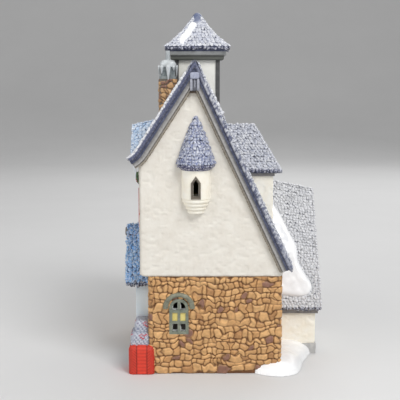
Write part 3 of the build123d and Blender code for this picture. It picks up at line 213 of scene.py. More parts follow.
def relief(u, v, place, height, keep, depth, wrap=False, back=False):
    """Grid of raised points on a surface, cut along an outline and closed by a rim.

    u and v are grids of surface places, place(u, v, h) gives points at height h, height(u, v) the
    relief, and keep(u, v) is below zero where the surface is kept. The rim runs to minus depth.
    """
    index = np.arange(u.size).reshape(u.shape)
    right = np.roll(index, -1, 1) if wrap else index[:, 1:]
    left = index if wrap else index[:, :-1]
    quads = np.stack([left[:-1], right[:-1], right[1:], left[1:]], -1).reshape(-1, 4)
    u, v = u.ravel().copy(), v.ravel().copy()
    kept = keep(u, v)[quads].mean(1) < 0
    edge = np.intersect1d(quads[kept], quads[~kept])
    probe = 0.02
    for _ in range(2):
        a, b = u[edge], v[edge]
        here = keep(a, b)
        slope_u = (keep(a + probe, b) - keep(a - probe, b)) / (2 * probe)
        slope_v = (keep(a, b + probe) - keep(a, b - probe)) / (2 * probe)
        size = np.maximum(slope_u * slope_u + slope_v * slope_v, 0.2)
        u[edge] -= here * slope_u / size
        v[edge] -= here * slope_v / size
    used, quads = np.unique(quads[kept], return_inverse=True)
    quads = quads.reshape(-1, 4).tolist()
    u, v = u[used], v[used]
    points = place(u, v, height(u, v))
    edges = {}
    for face in quads:
        for a, b in zip(face, face[1:] + face[:1]):
            if (b, a) in edges:
                del edges[(b, a)]
            else:
                edges[(a, b)] = True
    ring = sorted({p for pair in edges for p in pair})
    lower = {p: len(points) + k for k, p in enumerate(ring)}
    faces = quads + [[b, a, lower[a], lower[b]] for a, b in edges]
    if back:
        faces += cap_loops(edges, lower, u, v)
    return np.vstack([points, place(u[ring], v[ring], np.full(len(ring), -depth))]), faces


def cap_loops(edges, lower, u, v):
    """Flat back between the lower rim loops."""
    following = {}
    for a, b in edges:
        following.setdefault(a, []).append(b)
    loops = []
    while following:
        loop, here = [], next(iter(following))
        while here in following:
            loop.append(here)
            step = following[here].pop()
            if not following[here]:
                del following[here]
            here = step
        loops.append(loop)

    def area(loop):
        return abs(np.sum(u[loop] * np.roll(v[loop], -1) - np.roll(u[loop], -1) * v[loop]))

    loops.sort(key=area, reverse=True)
    flat = [p for loop in loops for p in loop]
    triangles = tessellate_polygon([[Vector((u[p], v[p], 0)) for p in loop] for loop in loops])
    return [[lower[flat[c]], lower[flat[b]], lower[flat[a]]] for a, b, c in triangles]


def grid_faces(rows, columns, around=False):
    """Faces of a grid of points that closes across, and lengthways too with around."""
    index = np.arange(rows * columns).reshape(rows, columns)
    index = np.hstack([index, index[:, :1]])
    if around:
        index = np.vstack([index, index[:1]])
    corners = [index[:-1, :-1], index[:-1, 1:], index[1:, 1:], index[1:, :-1]]
    return np.stack(corners, -1).reshape(-1, 4).tolist()


def lofted(rings):
    """Closed skin over rings that have the same number of points each."""
    rings = np.asarray(rings, float)
    rows, columns = rings.shape[:2]
    faces = grid_faces(rows, columns)
    faces += [list(range(columns))[::-1], [(rows - 1) * columns + k for k in range(columns)]]
    return rings.reshape(-1, 3), faces


def ring_at(middle, height, radius, sides, power=1.0):
    """Level ring of points, round or, with a power under 1, towards a square."""
    turn = np.linspace(0, 2 * np.pi, sides, endpoint=False)
    rim = np.stack([np.cos(turn), np.sin(turn)], 1)
    rim = np.sign(rim) * np.abs(rim) ** power
    return np.column_stack([np.array(middle[:2]) + radius * rim, np.full(sides, height)])


def joined(bits):
    """One set of points, faces and paint out of several."""
    points, faces, paint, start = [], [], [], 0
    for p, f, c in bits:
        points.append(p)
        faces += [[start + k for k in face] for face in f]
        paint.append(np.broadcast_to(c, np.shape(p)))
        start += len(p)
    return np.vstack(points), faces, np.vstack(paint)


def resampled(points, spacing):
    """Even places along a line of points, with their directions."""
    points = np.asarray(points, float)
    steps = np.linalg.norm(np.diff(points, axis=0), axis=1)
    run = np.concatenate([[0], np.cumsum(steps)])
    count = max(2, int(round(run[-1] / spacing)))
    way = (np.arange(count) + 0.5) / count * run[-1]
    places = np.stack([np.interp(way, run, points[:, k]) for k in range(3)], 1)
    part = np.clip(np.searchsorted(run, way) - 1, 0, len(steps) - 1)
    return places, np.diff(points, axis=0)[part] / steps[part][:, None]


def ball(rows=5, columns=8):
    """Points and faces of a closed round lump of unit radius."""
    points = [(0, 0, 1)]
    for tilt in math.pi * np.arange(1, rows) / rows:
        radius = math.sin(tilt)
        for turn in 2 * math.pi * np.arange(columns) / columns:
            points.append((radius * math.cos(turn), radius * math.sin(turn), math.cos(tilt)))
    points.append((0, 0, -1))
    last, low = len(points) - 1, 1 + (rows - 2) * columns
    faces = [(0, 1 + m, 1 + (m + 1) % columns) for m in range(columns)]
    faces += [[1 + face[k] for k in (0, 3, 2, 1)] for face in grid_faces(rows - 1, columns)]
    faces += [(low + m, last, low + (m + 1) % columns) for m in range(columns)]
    return np.array(points), faces


def lumps(line, out, spacing, sizes, palette, seed, frost, rough=0.2):
    """Row of rough lumps along a line; sizes run along it, outwards and across."""
    pick = np.random.default_rng(seed)
    centres, along = resampled(line, spacing)
    out = np.broadcast_to(np.asarray(out, float), centres.shape)
    axes = np.stack([along, out, np.cross(along, out)], 1)
    shape, faces = ball()
    amount = len(centres)
    swell = 1 + rough * np.clip(pick.normal(0, 1, (amount, len(shape), 1)), -1.6, 1.6)
    size = np.asarray(sizes) * pick.uniform(0.72, 1.28, (amount, 1, 3))
    shift = pick.uniform(-0.3, 0.3, (amount, 1, 3)) * np.asarray(sizes)
    points = centres[:, None] + (shape * swell * size + shift) @ axes
    facing = (shape @ axes)[..., 2:]
    white = frost * (0.25 + 0.75 * smooth(-0.5, 0.7, facing)) * pick.uniform(0.2, 1.5, facing.shape)
    # Undersides take the first paint as painted shade; the edge paint whitens the upward faces by frost.
    recess_shade, body, edge = palette
    paint = blend(blend(recess_shade, body, smooth(-1.0, 0.1, facing)), edge, np.clip(white, 0, 1))
    all_faces = [[start + k for k in face] for start in range(0, amount * len(shape), len(shape))
                 for face in faces]
    return points.reshape(-1, 3), all_faces, paint.reshape(-1, 3)


# Materials

def feed(tree, node, **sockets):
    """Sets sockets of a shader node to values, or links them to other nodes' outputs."""
    for name, value in sockets.items():
        socket = node.inputs[name.replace("_", " ")]
        if isinstance(value, bpy.types.NodeSocket):
            tree.links.new(value, socket)
        else:
            socket.default_value = value


def add_node(tree, kind, output, options=None, **sockets):
    """Output of a new shader node with its options and sockets set."""
    node = tree.nodes.new("ShaderNode" + kind)
    for name, value in (options or {}).items():
        setattr(node, name, value)
    feed(tree, node, **sockets)
    return node.outputs[output]


def ceramic(name, colours=(), grain=180.0, rough=0.42, spread=0.14, bump=0.12, fine=900.0, coat=0.0,
            stain=0.16, frost=0.0, rise=None):
    """Painted and glazed ceramic: colours mottled by noise, or the mesh's own paint under a wash.

    With rise, a pair of heights in millimetres, the colours follow one another from the lower to the upper.
    """
    material = bpy.data.materials.new(name)
    material.use_nodes = True
    tree = material.node_tree
    place = add_node(tree, "TexCoord", "Object")
    mottle = add_node(tree, "TexNoise", "Fac", Scale=grain, Detail=5, Roughness=0.62, Vector=place)
    base = add_node(tree, "ValToRGB", "Color", Fac=mottle)
    stops = base.node.color_ramp.elements
    shades = tones(*colours) if colours else [np.full(3, 1 - stain), np.ones(3)]
    while len(stops) < len(shades):
        stops.new(0.5)
    for k, shade in enumerate(shades):
        share = k / (len(shades) - 1)
        stops[k].position = share if rise else 0.3 + 0.4 * share
        stops[k].color = (*shade, 1)
    if rise:
        low, high = rise[0] * MM, rise[1] * MM
        waver = 0.3
        level = add_node(tree, "SeparateXYZ", "Z", Vector=place)
        level = add_node(tree, "MapRange", "Result", Value=level, From_Min=low, From_Max=high,
                         To_Min=-waver / 2, To_Max=1 - waver / 2)
        stray = add_node(tree, "Math", "Value", {"operation": "MULTIPLY_ADD"})
        tree.links.new(mottle, stray.node.inputs[0])
        stray.node.inputs[1].default_value = waver
        tree.links.new(level, stray.node.inputs[2])
        feed(tree, base.node, Fac=stray)
    if not colours:
        paint = add_node(tree, "Attribute", "Color", {"attribute_name": "paint"})
        base = add_node(tree, "Mix", "Result", {"data_type": "RGBA", "blend_type": "MULTIPLY"},
                        Factor=1.0, A=paint, B=base)
    if frost:
        speck = add_node(tree, "TexNoise", "Fac", Scale=1100, Detail=3, Vector=place)
        share = add_node(tree, "MapRange", "Result", Value=speck, From_Min=0.46, From_Max=0.64, To_Max=frost)
        base = add_node(tree, "Mix", "Result", {"data_type": "RGBA"}, Factor=share, A=base,
                        B=(*tone(240, 241, 246), 1))
    grit = add_node(tree, "TexNoise", "Fac", Scale=fine, Detail=4, Vector=place)
    gloss = add_node(tree, "MapRange", "Result", Value=grit, To_Min=rough - spread, To_Max=rough + spread)
    dent = add_node(tree, "Bump", "Normal", Strength=bump, Distance=0.0006, Height=grit)
    feed(tree, tree.nodes["Principled BSDF"], Base_Color=base, Roughness=gloss, Normal=dent,
         Coat_Weight=coat, Coat_Roughness=0.2)
    return material


STONE = ceramic("cobble_paint", grain=420, rough=0.55, bump=0.16, stain=0.22)
SHINGLE = ceramic("shingle_paint", grain=1300, rough=0.5, bump=0.14, stain=0.3, frost=0.6)
GLAZE = ceramic("painted_ice", grain=500, rough=0.25, spread=0.08, bump=0.06, coat=0.4, stain=0.1)
TRIM = ceramic("painted_trim", grain=500, rough=0.4, bump=0.1, stain=0.25, frost=0.12)
WOOL = ceramic("painted_knit", grain=900, rough=0.6, bump=0.2, stain=0.2)
LEAF = ceramic("painted_leaf", grain=900, rough=0.5, bump=0.1, stain=0.25)
STUCCO = ceramic("stucco_paint", [(224, 218, 207), (230, 225, 215), (235, 231, 222)], 150, 0.5, bump=0.14,
                 fine=1300)
# Paler, warmer copy of the stucco paint for the dormer, wing and turret walls: painted light.
LIT_STUCCO = ceramic("stucco_painted_light", [(250, 243, 226), (253, 248, 234), (255, 252, 242)], 150, 0.5, bump=0.14,
                   fine=1300)
SNOW = ceramic("snow_glaze", [(250, 251, 253), (255, 255, 255)], 90, 0.22, 0.08, 0.05, coat=0.4)
ICE = ceramic("ice_glaze", [(222, 230, 240), (244, 248, 252)], 240, 0.16, 0.06, 0.05, coat=0.6)
# Dark paint for the inside of the walls, base and stack, whose outsides the facings cover: painted shade of
# the closed interior.
INSIDE_SHADE = ceramic("bisque", [(92, 86, 78), (120, 114, 104)], 160, 0.75, 0.1)
SLATE = ceramic("slate_edge", [(52, 56, 76), (70, 75, 98), (104, 109, 132)], 420, 0.5)
GREY = ceramic("grey_trim", [(112, 110, 110), (142, 139, 137), (160, 157, 153)], 200, 0.45)
FRAME = ceramic("frame_green_grey", [(92, 98, 88), (122, 128, 114), (142, 146, 130)], 330, 0.42)
HOOD_TRIM = ceramic("hood_mould_olive", [(98, 97, 82), (126, 127, 110), (150, 152, 136)], 300, 0.45)
LANCET = ceramic("lancet_brown_grey", [(98, 90, 82), (124, 115, 104)], 300, 0.45)
CORNICE = ceramic("cornice_bands", [(84, 86, 80), (98, 100, 93), (108, 109, 105), (144, 146, 146),
                                    (158, 160, 160)], 260, 0.4, rise=(184.0, 189.4))


def dress(material, *names):
    """Gives CAD nodes a material."""
    for name in names:
        nodes[name].data.materials.clear()
        nodes[name].data.materials.append(material)


dress(INSIDE_SHADE, "base_plate", "stone_wall_near", "stone_wall_far", "stone_wall_front", "stone_wall_rear",
      "chimney_stack", "stone_courses")
dress(STUCCO, "gable_wall_near", "gable_wall_far", "stucco_wall_front", "oriel_bay", "oriel_corbel",
      "gablet_wall")
dress(LIT_STUCCO, "dormer_walls", "wing_side_walls", "wing_end_wall")
dress(SLATE, "main_roof_front_slope", "main_roof_rear_slope", "tower_roof", "tower_finial", "oriel_roof",
      "dormer_roof", "wing_roof_near_slope", "wing_roof_far_slope", "gablet_roof", "porch_hood",
      "main_ridge_cap", "shingle_courses")
dress(SNOW, "verge_snow", "chimney_snow", "wing_roof_snow", "ground_snow")
dress(ICE, "eave_icicles")
dress(GREY, "near_front_bargeboard", "near_rear_bargeboard", "far_front_bargeboard", "far_rear_bargeboard",
      "gable_king_posts", "dormer_eave_trim", "wing_eave_trim", "hood_ring", "grey_wool_stack")
dress(FRAME, "side_window_frame", "casement_frames")
dress(HOOD_TRIM, "side_window_hood")
dress(LANCET, "oriel_window_frame")
dress(CORNICE, "tower_cornice")
dress(ceramic("tower_cream", [(240, 238, 228), (250, 249, 241)], 120), "tower_shaft")
dress(ceramic("post_grey", [(72, 72, 72), (98, 97, 96)], 240, 0.45), "tower_posts")
dress(ceramic("pane_yellow", [(212, 192, 104), (236, 220, 142)], 140, 0.25, bump=0.04), "window_panes")
# Porch walls painted near white, paler than their own blue-grey: painted light against the shade of the hood.
dress(ceramic("porch_blue_grey_painted_light", [(230, 245, 255), (238, 250, 255)], 140, 0.45), "porch_walls")
dress(ceramic("door_brown", [(84, 52, 34), (116, 76, 48)], 260, 0.45), "front_door")
dress(ceramic("foundation_grey", [(168, 168, 168), (204, 203, 200)], 240, 0.5), "wing_foundation",
      "door_step")
dress(ceramic("red_paint", [(176, 34, 30), (208, 52, 42)], 260, 0.4), "bay_shutters", "red_wool_bundle")
dress(ceramic("garland_green", [(34, 66, 40), (62, 104, 62), (120, 150, 110)], 500, 0.5), "bay_garland")
dress(ceramic("crown_teal_grey", [(88, 98, 102), (122, 130, 132), (150, 154, 152)], 420, 0.5),
      "chimney_crown")
dress(ceramic("pot_pale_grey", [(150, 156, 160), (196, 201, 203)], 300, 0.45), "chimney_pot")


# Cobbles

def course_levels(height, course, seed, plinth):
    """Heights of the bed joints over the foot, the lowest course being the plinth where it has a height."""
    pick = np.random.default_rng(seed)
    levels = [0.0, plinth] if plinth else [0.0]
    while levels[-1] < height - 0.5 * course:
        levels.append(levels[-1] + course * pick.uniform(0.78, 1.3))
    levels = np.array(levels)
    upper = levels > plinth
    levels[upper] = plinth + (levels[upper] - plinth) * (height - plinth) / (levels[-1] - plinth)
    return levels


def upright_joints(length, levels, course, seed, plinth):
    """Places of the upright joints in each course of a band that closes on itself."""
    pick = np.random.default_rng(seed + 1)
    joints = []
    for k in range(len(levels) - 1):
        widths = []
        while sum(widths) < length:
            share = pick.choice([0.72, 0.98, 1.2, 1.6], p=[0.24, 0.36, 0.28, 0.12])
            widths.append(pick.uniform(6.0, 9.5) if plinth and k == 0 else share * course)
        joints.append(np.concatenate([[0.0], np.cumsum(widths)]) * length / sum(widths))
    return joints


OCHRE, SAND, DUSK, PLUM = tones((200, 151, 98), (226, 178, 121), (184, 136, 88), (146, 106, 88))
JOINT, RIM_JOINT = tones((118, 77, 42), (118, 76, 42))


def cobbles(s, z, levels, joints, length, seed, plum):
    """Relief height and paint of pillowed stones in courses along a closed band, a share of them plum."""
    warp_s = s + 1.3 * noise2(s / 3.6, z / 2.6, seed + 1) + 0.9 * noise2(s / 11, z / 7, seed + 7)
    warp_z = z + 1.35 * noise2(s / 3.0, z / 3.8, seed + 2) + 1.3 * noise2(s / 7, z / 9, seed + 8)
    beds = np.repeat(levels[:, None], len(s), 1)
    for k in range(1, len(levels) - 1):
        beds[k] += noise2(s / 6.0, np.full(len(s), k * 5.3), seed + 3)
    course = np.clip((warp_z >= beds).sum(0) - 1, 0, len(levels) - 2)
    every = np.arange(len(s))
    low, high = beds[course, every], beds[course + 1, every]
    along = np.mod(warp_s, length)
    left, right, stone = np.zeros(len(s)), np.zeros(len(s)), np.zeros(len(s), int)
    count = 0
    for k, cuts in enumerate(joints):
        here = course == k
        spot = np.clip(np.searchsorted(cuts, along[here], "right") - 1, 0, len(cuts) - 2)
        left[here], right[here], stone[here] = cuts[spot], cuts[spot + 1], count + spot
        count += len(cuts) - 1
    pick = np.random.default_rng(seed + 5)
    odd = pick.random(count)
    purple, dusk = odd < plum, (odd >= plum) & (odd < plum + 0.045)
    corner = np.where(purple, 2.0, pick.uniform(0.8, 1.5, count))[stone]
    corner = np.minimum(corner, 0.48 * np.minimum(right - left, high - low))
    side, bed = np.minimum(along - left, right - along), np.minimum(warp_z - low, high - warp_z)
    gap = np.where((side < corner) & (bed < corner), corner - np.hypot(corner - side, corner - bed),
                   np.minimum(side, bed))
    rounded = np.clip((gap - 0.08) / 0.95, 0, 1)
    body = np.sqrt(1 - (1 - rounded) ** 2)
    faint = 0.3 + 0.7 * smooth(-0.8, -0.35, noise2(s / 7, z / 6, seed + 6))
    tilt = pick.normal(0, 0.07, (count, 2))[stone]
    lift = pick.uniform(-0.16, 0.16, count)[stone]
    lean = lift + tilt[:, 0] * (along - (left + right) / 2) + tilt[:, 1] * (warp_z - (low + high) / 2)
    shape = (0.9 + lean + 0.05 * noise2(s / 0.8, z / 0.8, seed + 3)) * body
    shape = 0.8 - (0.8 - shape) * faint
    paint = blend(OCHRE, SAND, pick.random((count, 1)))
    paint[dusk] = DUSK * pick.uniform(0.9, 1.08, (dusk.sum(), 1))
    # Painted shade: each stone darkens towards its rounded rim.
    edge = 1 - (1 - smooth(0.1, 0.85, gap)) * faint
    deep = 1 - (1 - smooth(-0.08, 0.22, gap)) * faint
    wash = purple[stone] * smooth(-0.1, 0.6, gap + 0.3 * noise2(s / 1.5, z / 1.5, seed + 9))
    # Painted highlight along each stone's upper edge, painted shade along its lower edge.
    top_edge_highlight = smooth(1.4, 0.5, high - warp_z) * smooth(0.1, 0.4, gap)
    foot = smooth(1.2, 0.3, warp_z - low)
    colour = paint[stone] * ((0.74 + 0.26 * edge) * (1 + 0.22 * top_edge_highlight - 0.24 * foot))[:, None]
    colour = blend(JOINT, blend(colour, PLUM, wash[:, None]), deep[:, None])
    colour = colour * (1 + 0.13 * noise2(s / 1.2, z / 1.2, seed + 4)[:, None])
    return np.maximum(shape, 0.03), colour


def band_path(half_x, half_y, radius, steps):
    """Closed path round a rounded rectangle from the street end of its near side, and its length.

    Its rows hold the distance along it, the place and the outward direction. steps are the distances
    between samples on the near, rear, far and front sides.
    """
    rows, run, bend = [], 0.0, radius * math.pi / 2
    ways = np.array([(1.0, 0.0), (0.0, 1.0), (-1.0, 0.0), (0.0, -1.0)])
    for way, half_run, half_out, step in zip(ways, (half_x, half_y) * 2, (half_y, half_x) * 2, steps):
        out = np.array([way[1], -way[0]])
        start, length = out * half_out - way * (half_run - radius), 2 * (half_run - radius)
        count = max(2, int(round(length / step)))
        for t in np.arange(count) / count:
            rows.append((run + t * length, *(start + t * length * way), *out))
        run += length
        corner = start + length * way - out * radius
        arc = max(3, int(round(bend / step)))
        for t in np.arange(arc) / arc:
            turned = out * math.cos(t * math.pi / 2) + way * math.sin(t * math.pi / 2)
            rows.append((run + t * bend, *(corner + turned * radius), *turned))
        run += bend
    return np.array(rows), run


def stone_band(name, half_x, half_y, middle, radius, steps, rise, low, high, course, seed, keep,
               plinth=0.0, tint=1.0, replaces=(), plum=0.055):
    """Cobble facing round four walls, with its openings cut."""
    path, length = band_path(half_x, half_y, radius, steps)
    levels = np.linspace(low, high, max(3, int(round((high - low) / rise)) + 1))
    beds = low + course_levels(high - low, course, seed, plinth)
    joints = upright_joints(length, beds, course, seed, plinth)
    closed = np.vstack([path, [length, *path[0, 1:]]])
    paints = []

    def place(u, v, h):
        u = np.mod(u, length)
        x, y, out_x, out_y = (np.interp(u, closed[:, 0], closed[:, k]) for k in range(1, 5))
        return np.stack([middle[0] + x + out_x * h, middle[1] + y + out_y * h, v], 1)

    def height(u, v):
        shape, colour = cobbles(u, v, beds, joints, length, seed, plum)
        paints.append(colour)
        return shape

    points, faces = relief(*np.meshgrid(path[:, 0], levels), place, height,
                           lambda u, v: keep(place(u, v, np.zeros(len(u)))), 0.5, wrap=True)
    paints.append(np.tile(RIM_JOINT, (len(points) - len(paints[0]), 1)))
    make(name, (points, faces, np.vstack(paints) * tint), STONE, replaces)


def house_openings(p):
    """Where the cobble facing of the house stays: clear of window, lamp hole, casement, porch and wing."""
    x, y, z = p.T
    near, far = y < Y_NEAR + 1, y > Y_FAR - 1
    front, rear = (x < X_FRONT + 1) & ~near & ~far, (x > X_REAR - 1) & ~near & ~far
    out = np.full(len(p), -9.0)
    for wall, hole in ((near, arch_distance(x, z, WINDOW_X, WINDOW_SILL, WINDOW_WIDTH, WINDOW_HEIGHT)),
                       (far, np.hypot(x, z - LAMP_HOLE_Z) - LAMP_HOLE_RADIUS),
                       (front, rectangle_distance(y, z, FAR_CASEMENT_Y, LOWER_CASEMENT_Z, *CASEMENT)),
                       (front, rectangle_distance(y, z, BAY_Y, PORCH_MIDDLE_Z, PORCH_WIDTH, PORCH_HEIGHT)),
                       (rear, rectangle_distance(y, z, WING_Y, WING_MIDDLE_Z, WING_WIDTH, WING_HEIGHT))):
        out = np.where(wall, np.maximum(out, -hole), out)
    return out


def above_street_slope(p):
    """Where the chimney's stones stay: over the street slope."""
    return RIDGE_Z - FRONT_RISE * (RIDGE_X - p[:, 0]) - p[:, 2] - 1.0


stone_band("stone_facing", X_REAR, Y_FAR, (0, 0), 2.2, (0.27, 0.45, 0.45, 0.45), 0.29, 0.0, STOREY, 3.6, 11,
           house_openings, plinth=4.6, replaces=("stone_courses",))
stone_band("chimney_stones", 4.9, 4.9, (CHIMNEY_X, CHIMNEY_Y), 0.8, (0.3,) * 4, 0.3, CHIMNEY_TOP - 24.0,
           CHIMNEY_TOP, 2.6, 17, above_street_slope, tint=np.array([0.92, 0.98, 1.12]),
           plum=0.4)


# Shingles

LAP = 1.45


def patch(a, b, c, d):
    """Surface between a lower edge a to b and an upper edge d to c, as a function of shares."""
    a, b, c, d = (np.asarray(p, float) for p in (a, b, c, d))

    def surface(u, t):
        u, t = np.asarray(u)[..., None], np.asarray(t)[..., None]
        return blend(blend(a, b, u), blend(d, c, u), t)
    return surface


def obstacle(*names):
    """Test for points inside any of some CAD nodes, by counting the faces over them."""
    trees = []
    for name in names:
        mesh = nodes[name].data
        points = [v.co / MM for v in mesh.vertices]
        trees.append(BVHTree.FromPolygons(points, [p.vertices[:] for p in mesh.polygons]))
    ray = Vector((0.0131, 0.0177, 1))

    def inside(p):
        for tree in trees:
            start, hits = Vector(p), 0
            while hits < 40:
                found = tree.ray_cast(start, ray)[0]
                if found is None:
                    break
                hits += 1
                start = found + ray * 1e-4
            if hits % 2:
                return True
        return False
    return inside


def shingles(name, surface, width, row, thick, palette, seed, blocked=None, outside=None, dust=0.5, last=1.0,
             replaces=()):
    """Overlapping rounded shingles on a surface up to the share last of it, one mesh.

    palette holds the painted shade of the gaps under the butts and at the covered heads, the body paint and
    the dry-brushed edge. blocked drops shingles that stand inside other pieces, and outside is a test on
    arrays of points that drops more.
    """
    pick = np.random.default_rng(seed)
    steps = np.linspace(0, 1, 33)
    spine = surface(np.full(33, 0.5), steps)
    rows = max(2, int(round(np.linalg.norm(np.diff(spine, axis=0), axis=1).sum() * last / row)))
    pitch = last / rows
    cells = []
    for k in range(rows):
        edge = surface(steps, np.full(33, k * pitch))
        count = max(1, int(round(np.linalg.norm(np.diff(edge, axis=0), axis=1).sum() / width)))
        cuts = (np.arange(1, count + 1) - pick.uniform(0.15, 0.85)) / count
        cuts = np.concatenate([[0.0], cuts + pick.uniform(-0.24, 0.24, count) / count, [1.0]])
        for left, right in zip(cuts[:-1], cuts[1:]):
            if right - left >= 0.2 / count:
                cells.append((left, right, (k + pick.uniform(-0.3, 0.2) * (k > 0)) * pitch))
    cells = np.array(cells)
    middle = surface((cells[:, 0] + cells[:, 1]) / 2, np.clip(cells[:, 2] + pitch * 0.5, 0, 1))
    stay = np.ones(len(cells), bool)
    if outside is not None:
        stay &= ~outside(middle)
    if blocked is not None:
        for n in np.nonzero(stay)[0]:
            stay[n] = not blocked(middle[n])
    left, right, foot = cells[stay].T[..., None]
    amount = len(left)
    # Five by five points to a shingle: shares across it, and rows from its butt to its head
    across, line = (grid.ravel() for grid in np.meshgrid([0.02, 0.2, 0.5, 0.8, 0.98], np.arange(5)))
    up = np.array([0.0, 0.0, 0.18, 0.62, 1.0])[line]
    lift = np.array([-0.25, 0.72, 1.0, 0.72, 0.12])[line]
    bow = (2 * across - 1) ** 2
    skew = pick.uniform(-0.36, 0.36, (amount, 1))
    big = pick.uniform(0.55, 1.5, (amount, 1))
    u = np.clip(left + (right - left) * across, 0, 1)
    curve = (0.34 * bow + skew * (2 * across - 1)) * np.where(line < 3, 1.0, 0.4)
    t = np.clip(foot + pitch * (LAP * up + curve), 0, 1)
    high = thick * (lift * (1 - 0.42 * bow ** 2)) * big
    high = high + thick * 0.2 * pick.normal(0, 1, high.shape) * (lift > 0)
    t = np.clip(t + pitch * 0.07 * pick.normal(0, 1, t.shape), 0, 1)
    small = 1e-3
    base = surface(u, t)
    along = surface(np.clip(u + small, 0, 1), t) - surface(np.clip(u - small, 0, 1), t)
    upward = surface(u, np.clip(t + small, 0, 1)) - surface(u, np.clip(t - small, 0, 1))
    normal = np.cross(along, upward)
    normal /= np.maximum(np.linalg.norm(normal, axis=-1, keepdims=True), 1e-12)
    points = base + normal * high[..., None]
    # By row: the butt's lower lip and the covered head take the painted shade of the gaps between rows; the
    # exposed rows take the body paint and the dry-brushed frost.
    bright = np.array([0.0, 0.75, 0.9, 0.5, 0.0])[line] * (1 - 0.45 * bow)
    frost = np.clip(pick.normal(dust, 0.22, (amount, 1)), 0, 1)
    x, y, z = base[:, 12].T
    frost = np.clip(frost + 0.25 * noise2(x / 9 + y / 7, z / 9, seed)[:, None], 0, 1)
    frosted = np.clip(bright * pick.uniform(0.1, 1.35, (amount, 25)) * frost, 0, 1)[..., None]
    recess_shade, body, edge = palette
    worn = body * pick.uniform(0.82, 1.15, (amount, 1, 1))
    paint = blend(blend(recess_shade, worn, smooth(0.0, 0.5, bright)[:, None]), edge, frosted)
    corner = np.array([5 * k + m for k in range(4) for m in range(4)])
    quads = corner[:, None] + np.array([0, 1, 6, 5])
    faces = (np.arange(amount)[:, None, None] * 25 + quads).reshape(-1, 4)
    make(name, (points.reshape(-1, 3), faces, paint.reshape(-1, 3)), SHINGLE, replaces)


def roof_pair(name, middle, half, eave, ridge, sizes, palette, seeds, outside, dust):
    """Shingles on the near and far slope of a roof; eave and ridge give x and height at their two ends."""
    top = [(x, middle, z) for x, z in ridge]
    for (side, label), seed in zip(SIDES, seeds):
        low = [(x, middle + side * half, z) for x, z in eave]
        corners = (*low, *top[::-1]) if side < 0 else (*low[::-1], *top)
        shingles(f"{name}_{label}_shingles", patch(*corners), *sizes, palette, seed, None, outside, dust)


# Roof paints: painted shade for the gaps and undersides, body paint, and the dry-brushed edge.
WING_PAINT = tones((116, 118, 128), (210, 211, 215), (254, 254, 255))
DORMER_PAINT = tones((44, 48, 70), (172, 177, 194), (255, 255, 255))
MAIN_PAINT = tones((66, 72, 98), (146, 155, 180), (240, 242, 248))
ORIEL_PAINT = tones((18, 25, 76), (82, 99, 158), (240, 244, 250))
HOOD_PAINT = tones((26, 50, 98), (106, 168, 236), (214, 240, 255))
GABLET_PAINT = tones((92, 120, 166), (164, 196, 230), (240, 247, 254))
TOWER_PAINT = tones((86, 92, 124), (190, 195, 212), (253, 254, 255))


def front_slope(u, t):
    """Street slope of the main roof from its flared eave to the ridge."""
    line = (RIDGE_X - KNEE[0]) / math.cos(FRONT_PITCH)
    arc = FLARE_RADIUS * math.radians(FLARE_TURN)
    way = np.asarray(t, float) * (line + arc)
    turn = np.radians(FLARE_START + FLARE_TURN * np.clip(way / arc, 0, 1))
    more = np.maximum(way - arc, 0)
    centre = KNEE + FLARE_RADIUS * FRONT_OUT
    x = centre[0] + FLARE_RADIUS * np.cos(turn) + more * math.cos(FRONT_PITCH)
    z = centre[2] + FLARE_RADIUS * np.sin(turn) + more * math.sin(FRONT_PITCH)
    return np.stack([x, VERGE * (1 - 2 * np.asarray(u, float)), z], -1)


def rear_height(x):
    """Height of the main roof's rear slope at x."""
    return RIDGE_Z - REAR_RISE * (x - RIDGE_X)


def below_rear(p):
    """Points under the rear slope of the main roof or inside the rear wall."""
    return (p[:, 2] < rear_height(p[:, 0]) - 0.3) & ((p[:, 2] > REAR_FOOT_Z) | (p[:, 0] < X_REAR + 0.5))


def below_front(p):
    """Points under the street slope of the main roof."""
    return p[:, 2] < RIDGE_Z - FRONT_RISE * (RIDGE_X - p[:, 0]) - 0.3


def behind_street_wall(p):
    """Points inside the stucco storey."""
    return (p[:, 0] > UPPER_FRONT) & (p[:, 2] > STOREY)


def wing_ridge(x):
    """Height of the wing's ridge at x."""
    return WING_RIDGE_Z - WING_RIDGE_FALL * (x - X_REAR)


def wing_reach(x, z):
    """Distance of the wing's slopes from its middle at x and a height."""
    return WING_HALF * (wing_ridge(x) - z) / (wing_ridge(x) - WING_EAVE_Z)


def in_tower(p):
    """Points of the main slopes that the tower covers."""
    cover = 13.0
    return (np.abs(p[:, 0] - TOWER_X) < cover) & (np.abs(p[:, 1] - TOWER_Y) < cover)


def rear_covered(p):
    """Points of the main rear slope that the tower, the dormer and the wing cover."""
    dormer = np.abs(p[:, 1] - DORMER_Y) < DORMER_WALL_HALF - 0.5
    dormer &= (p[:, 2] > DORMER_LEVELS[0]) & (p[:, 2] < DORMER_EAVE_Z - 1.0)
    return in_tower(p) | dormer | (np.abs(p[:, 1] - WING_Y) < wing_reach(p[:, 0], p[:, 2]) - 2.0)


def tower_face(turn):
    """One bell-cast side of the tower roof."""
    c, s = math.cos(math.radians(turn)), math.sin(math.radians(turn))

    def surface(u, t):
        half = TOWER_HALF * np.polyval(BELL, t)
        along = (2 * u - 1) * half
        return np.stack([TOWER_X + c * along + s * half, TOWER_Y + s * along - c * half,
                         TOWER_EAVE_Z + TOWER_RISE * t], -1)
    return surface


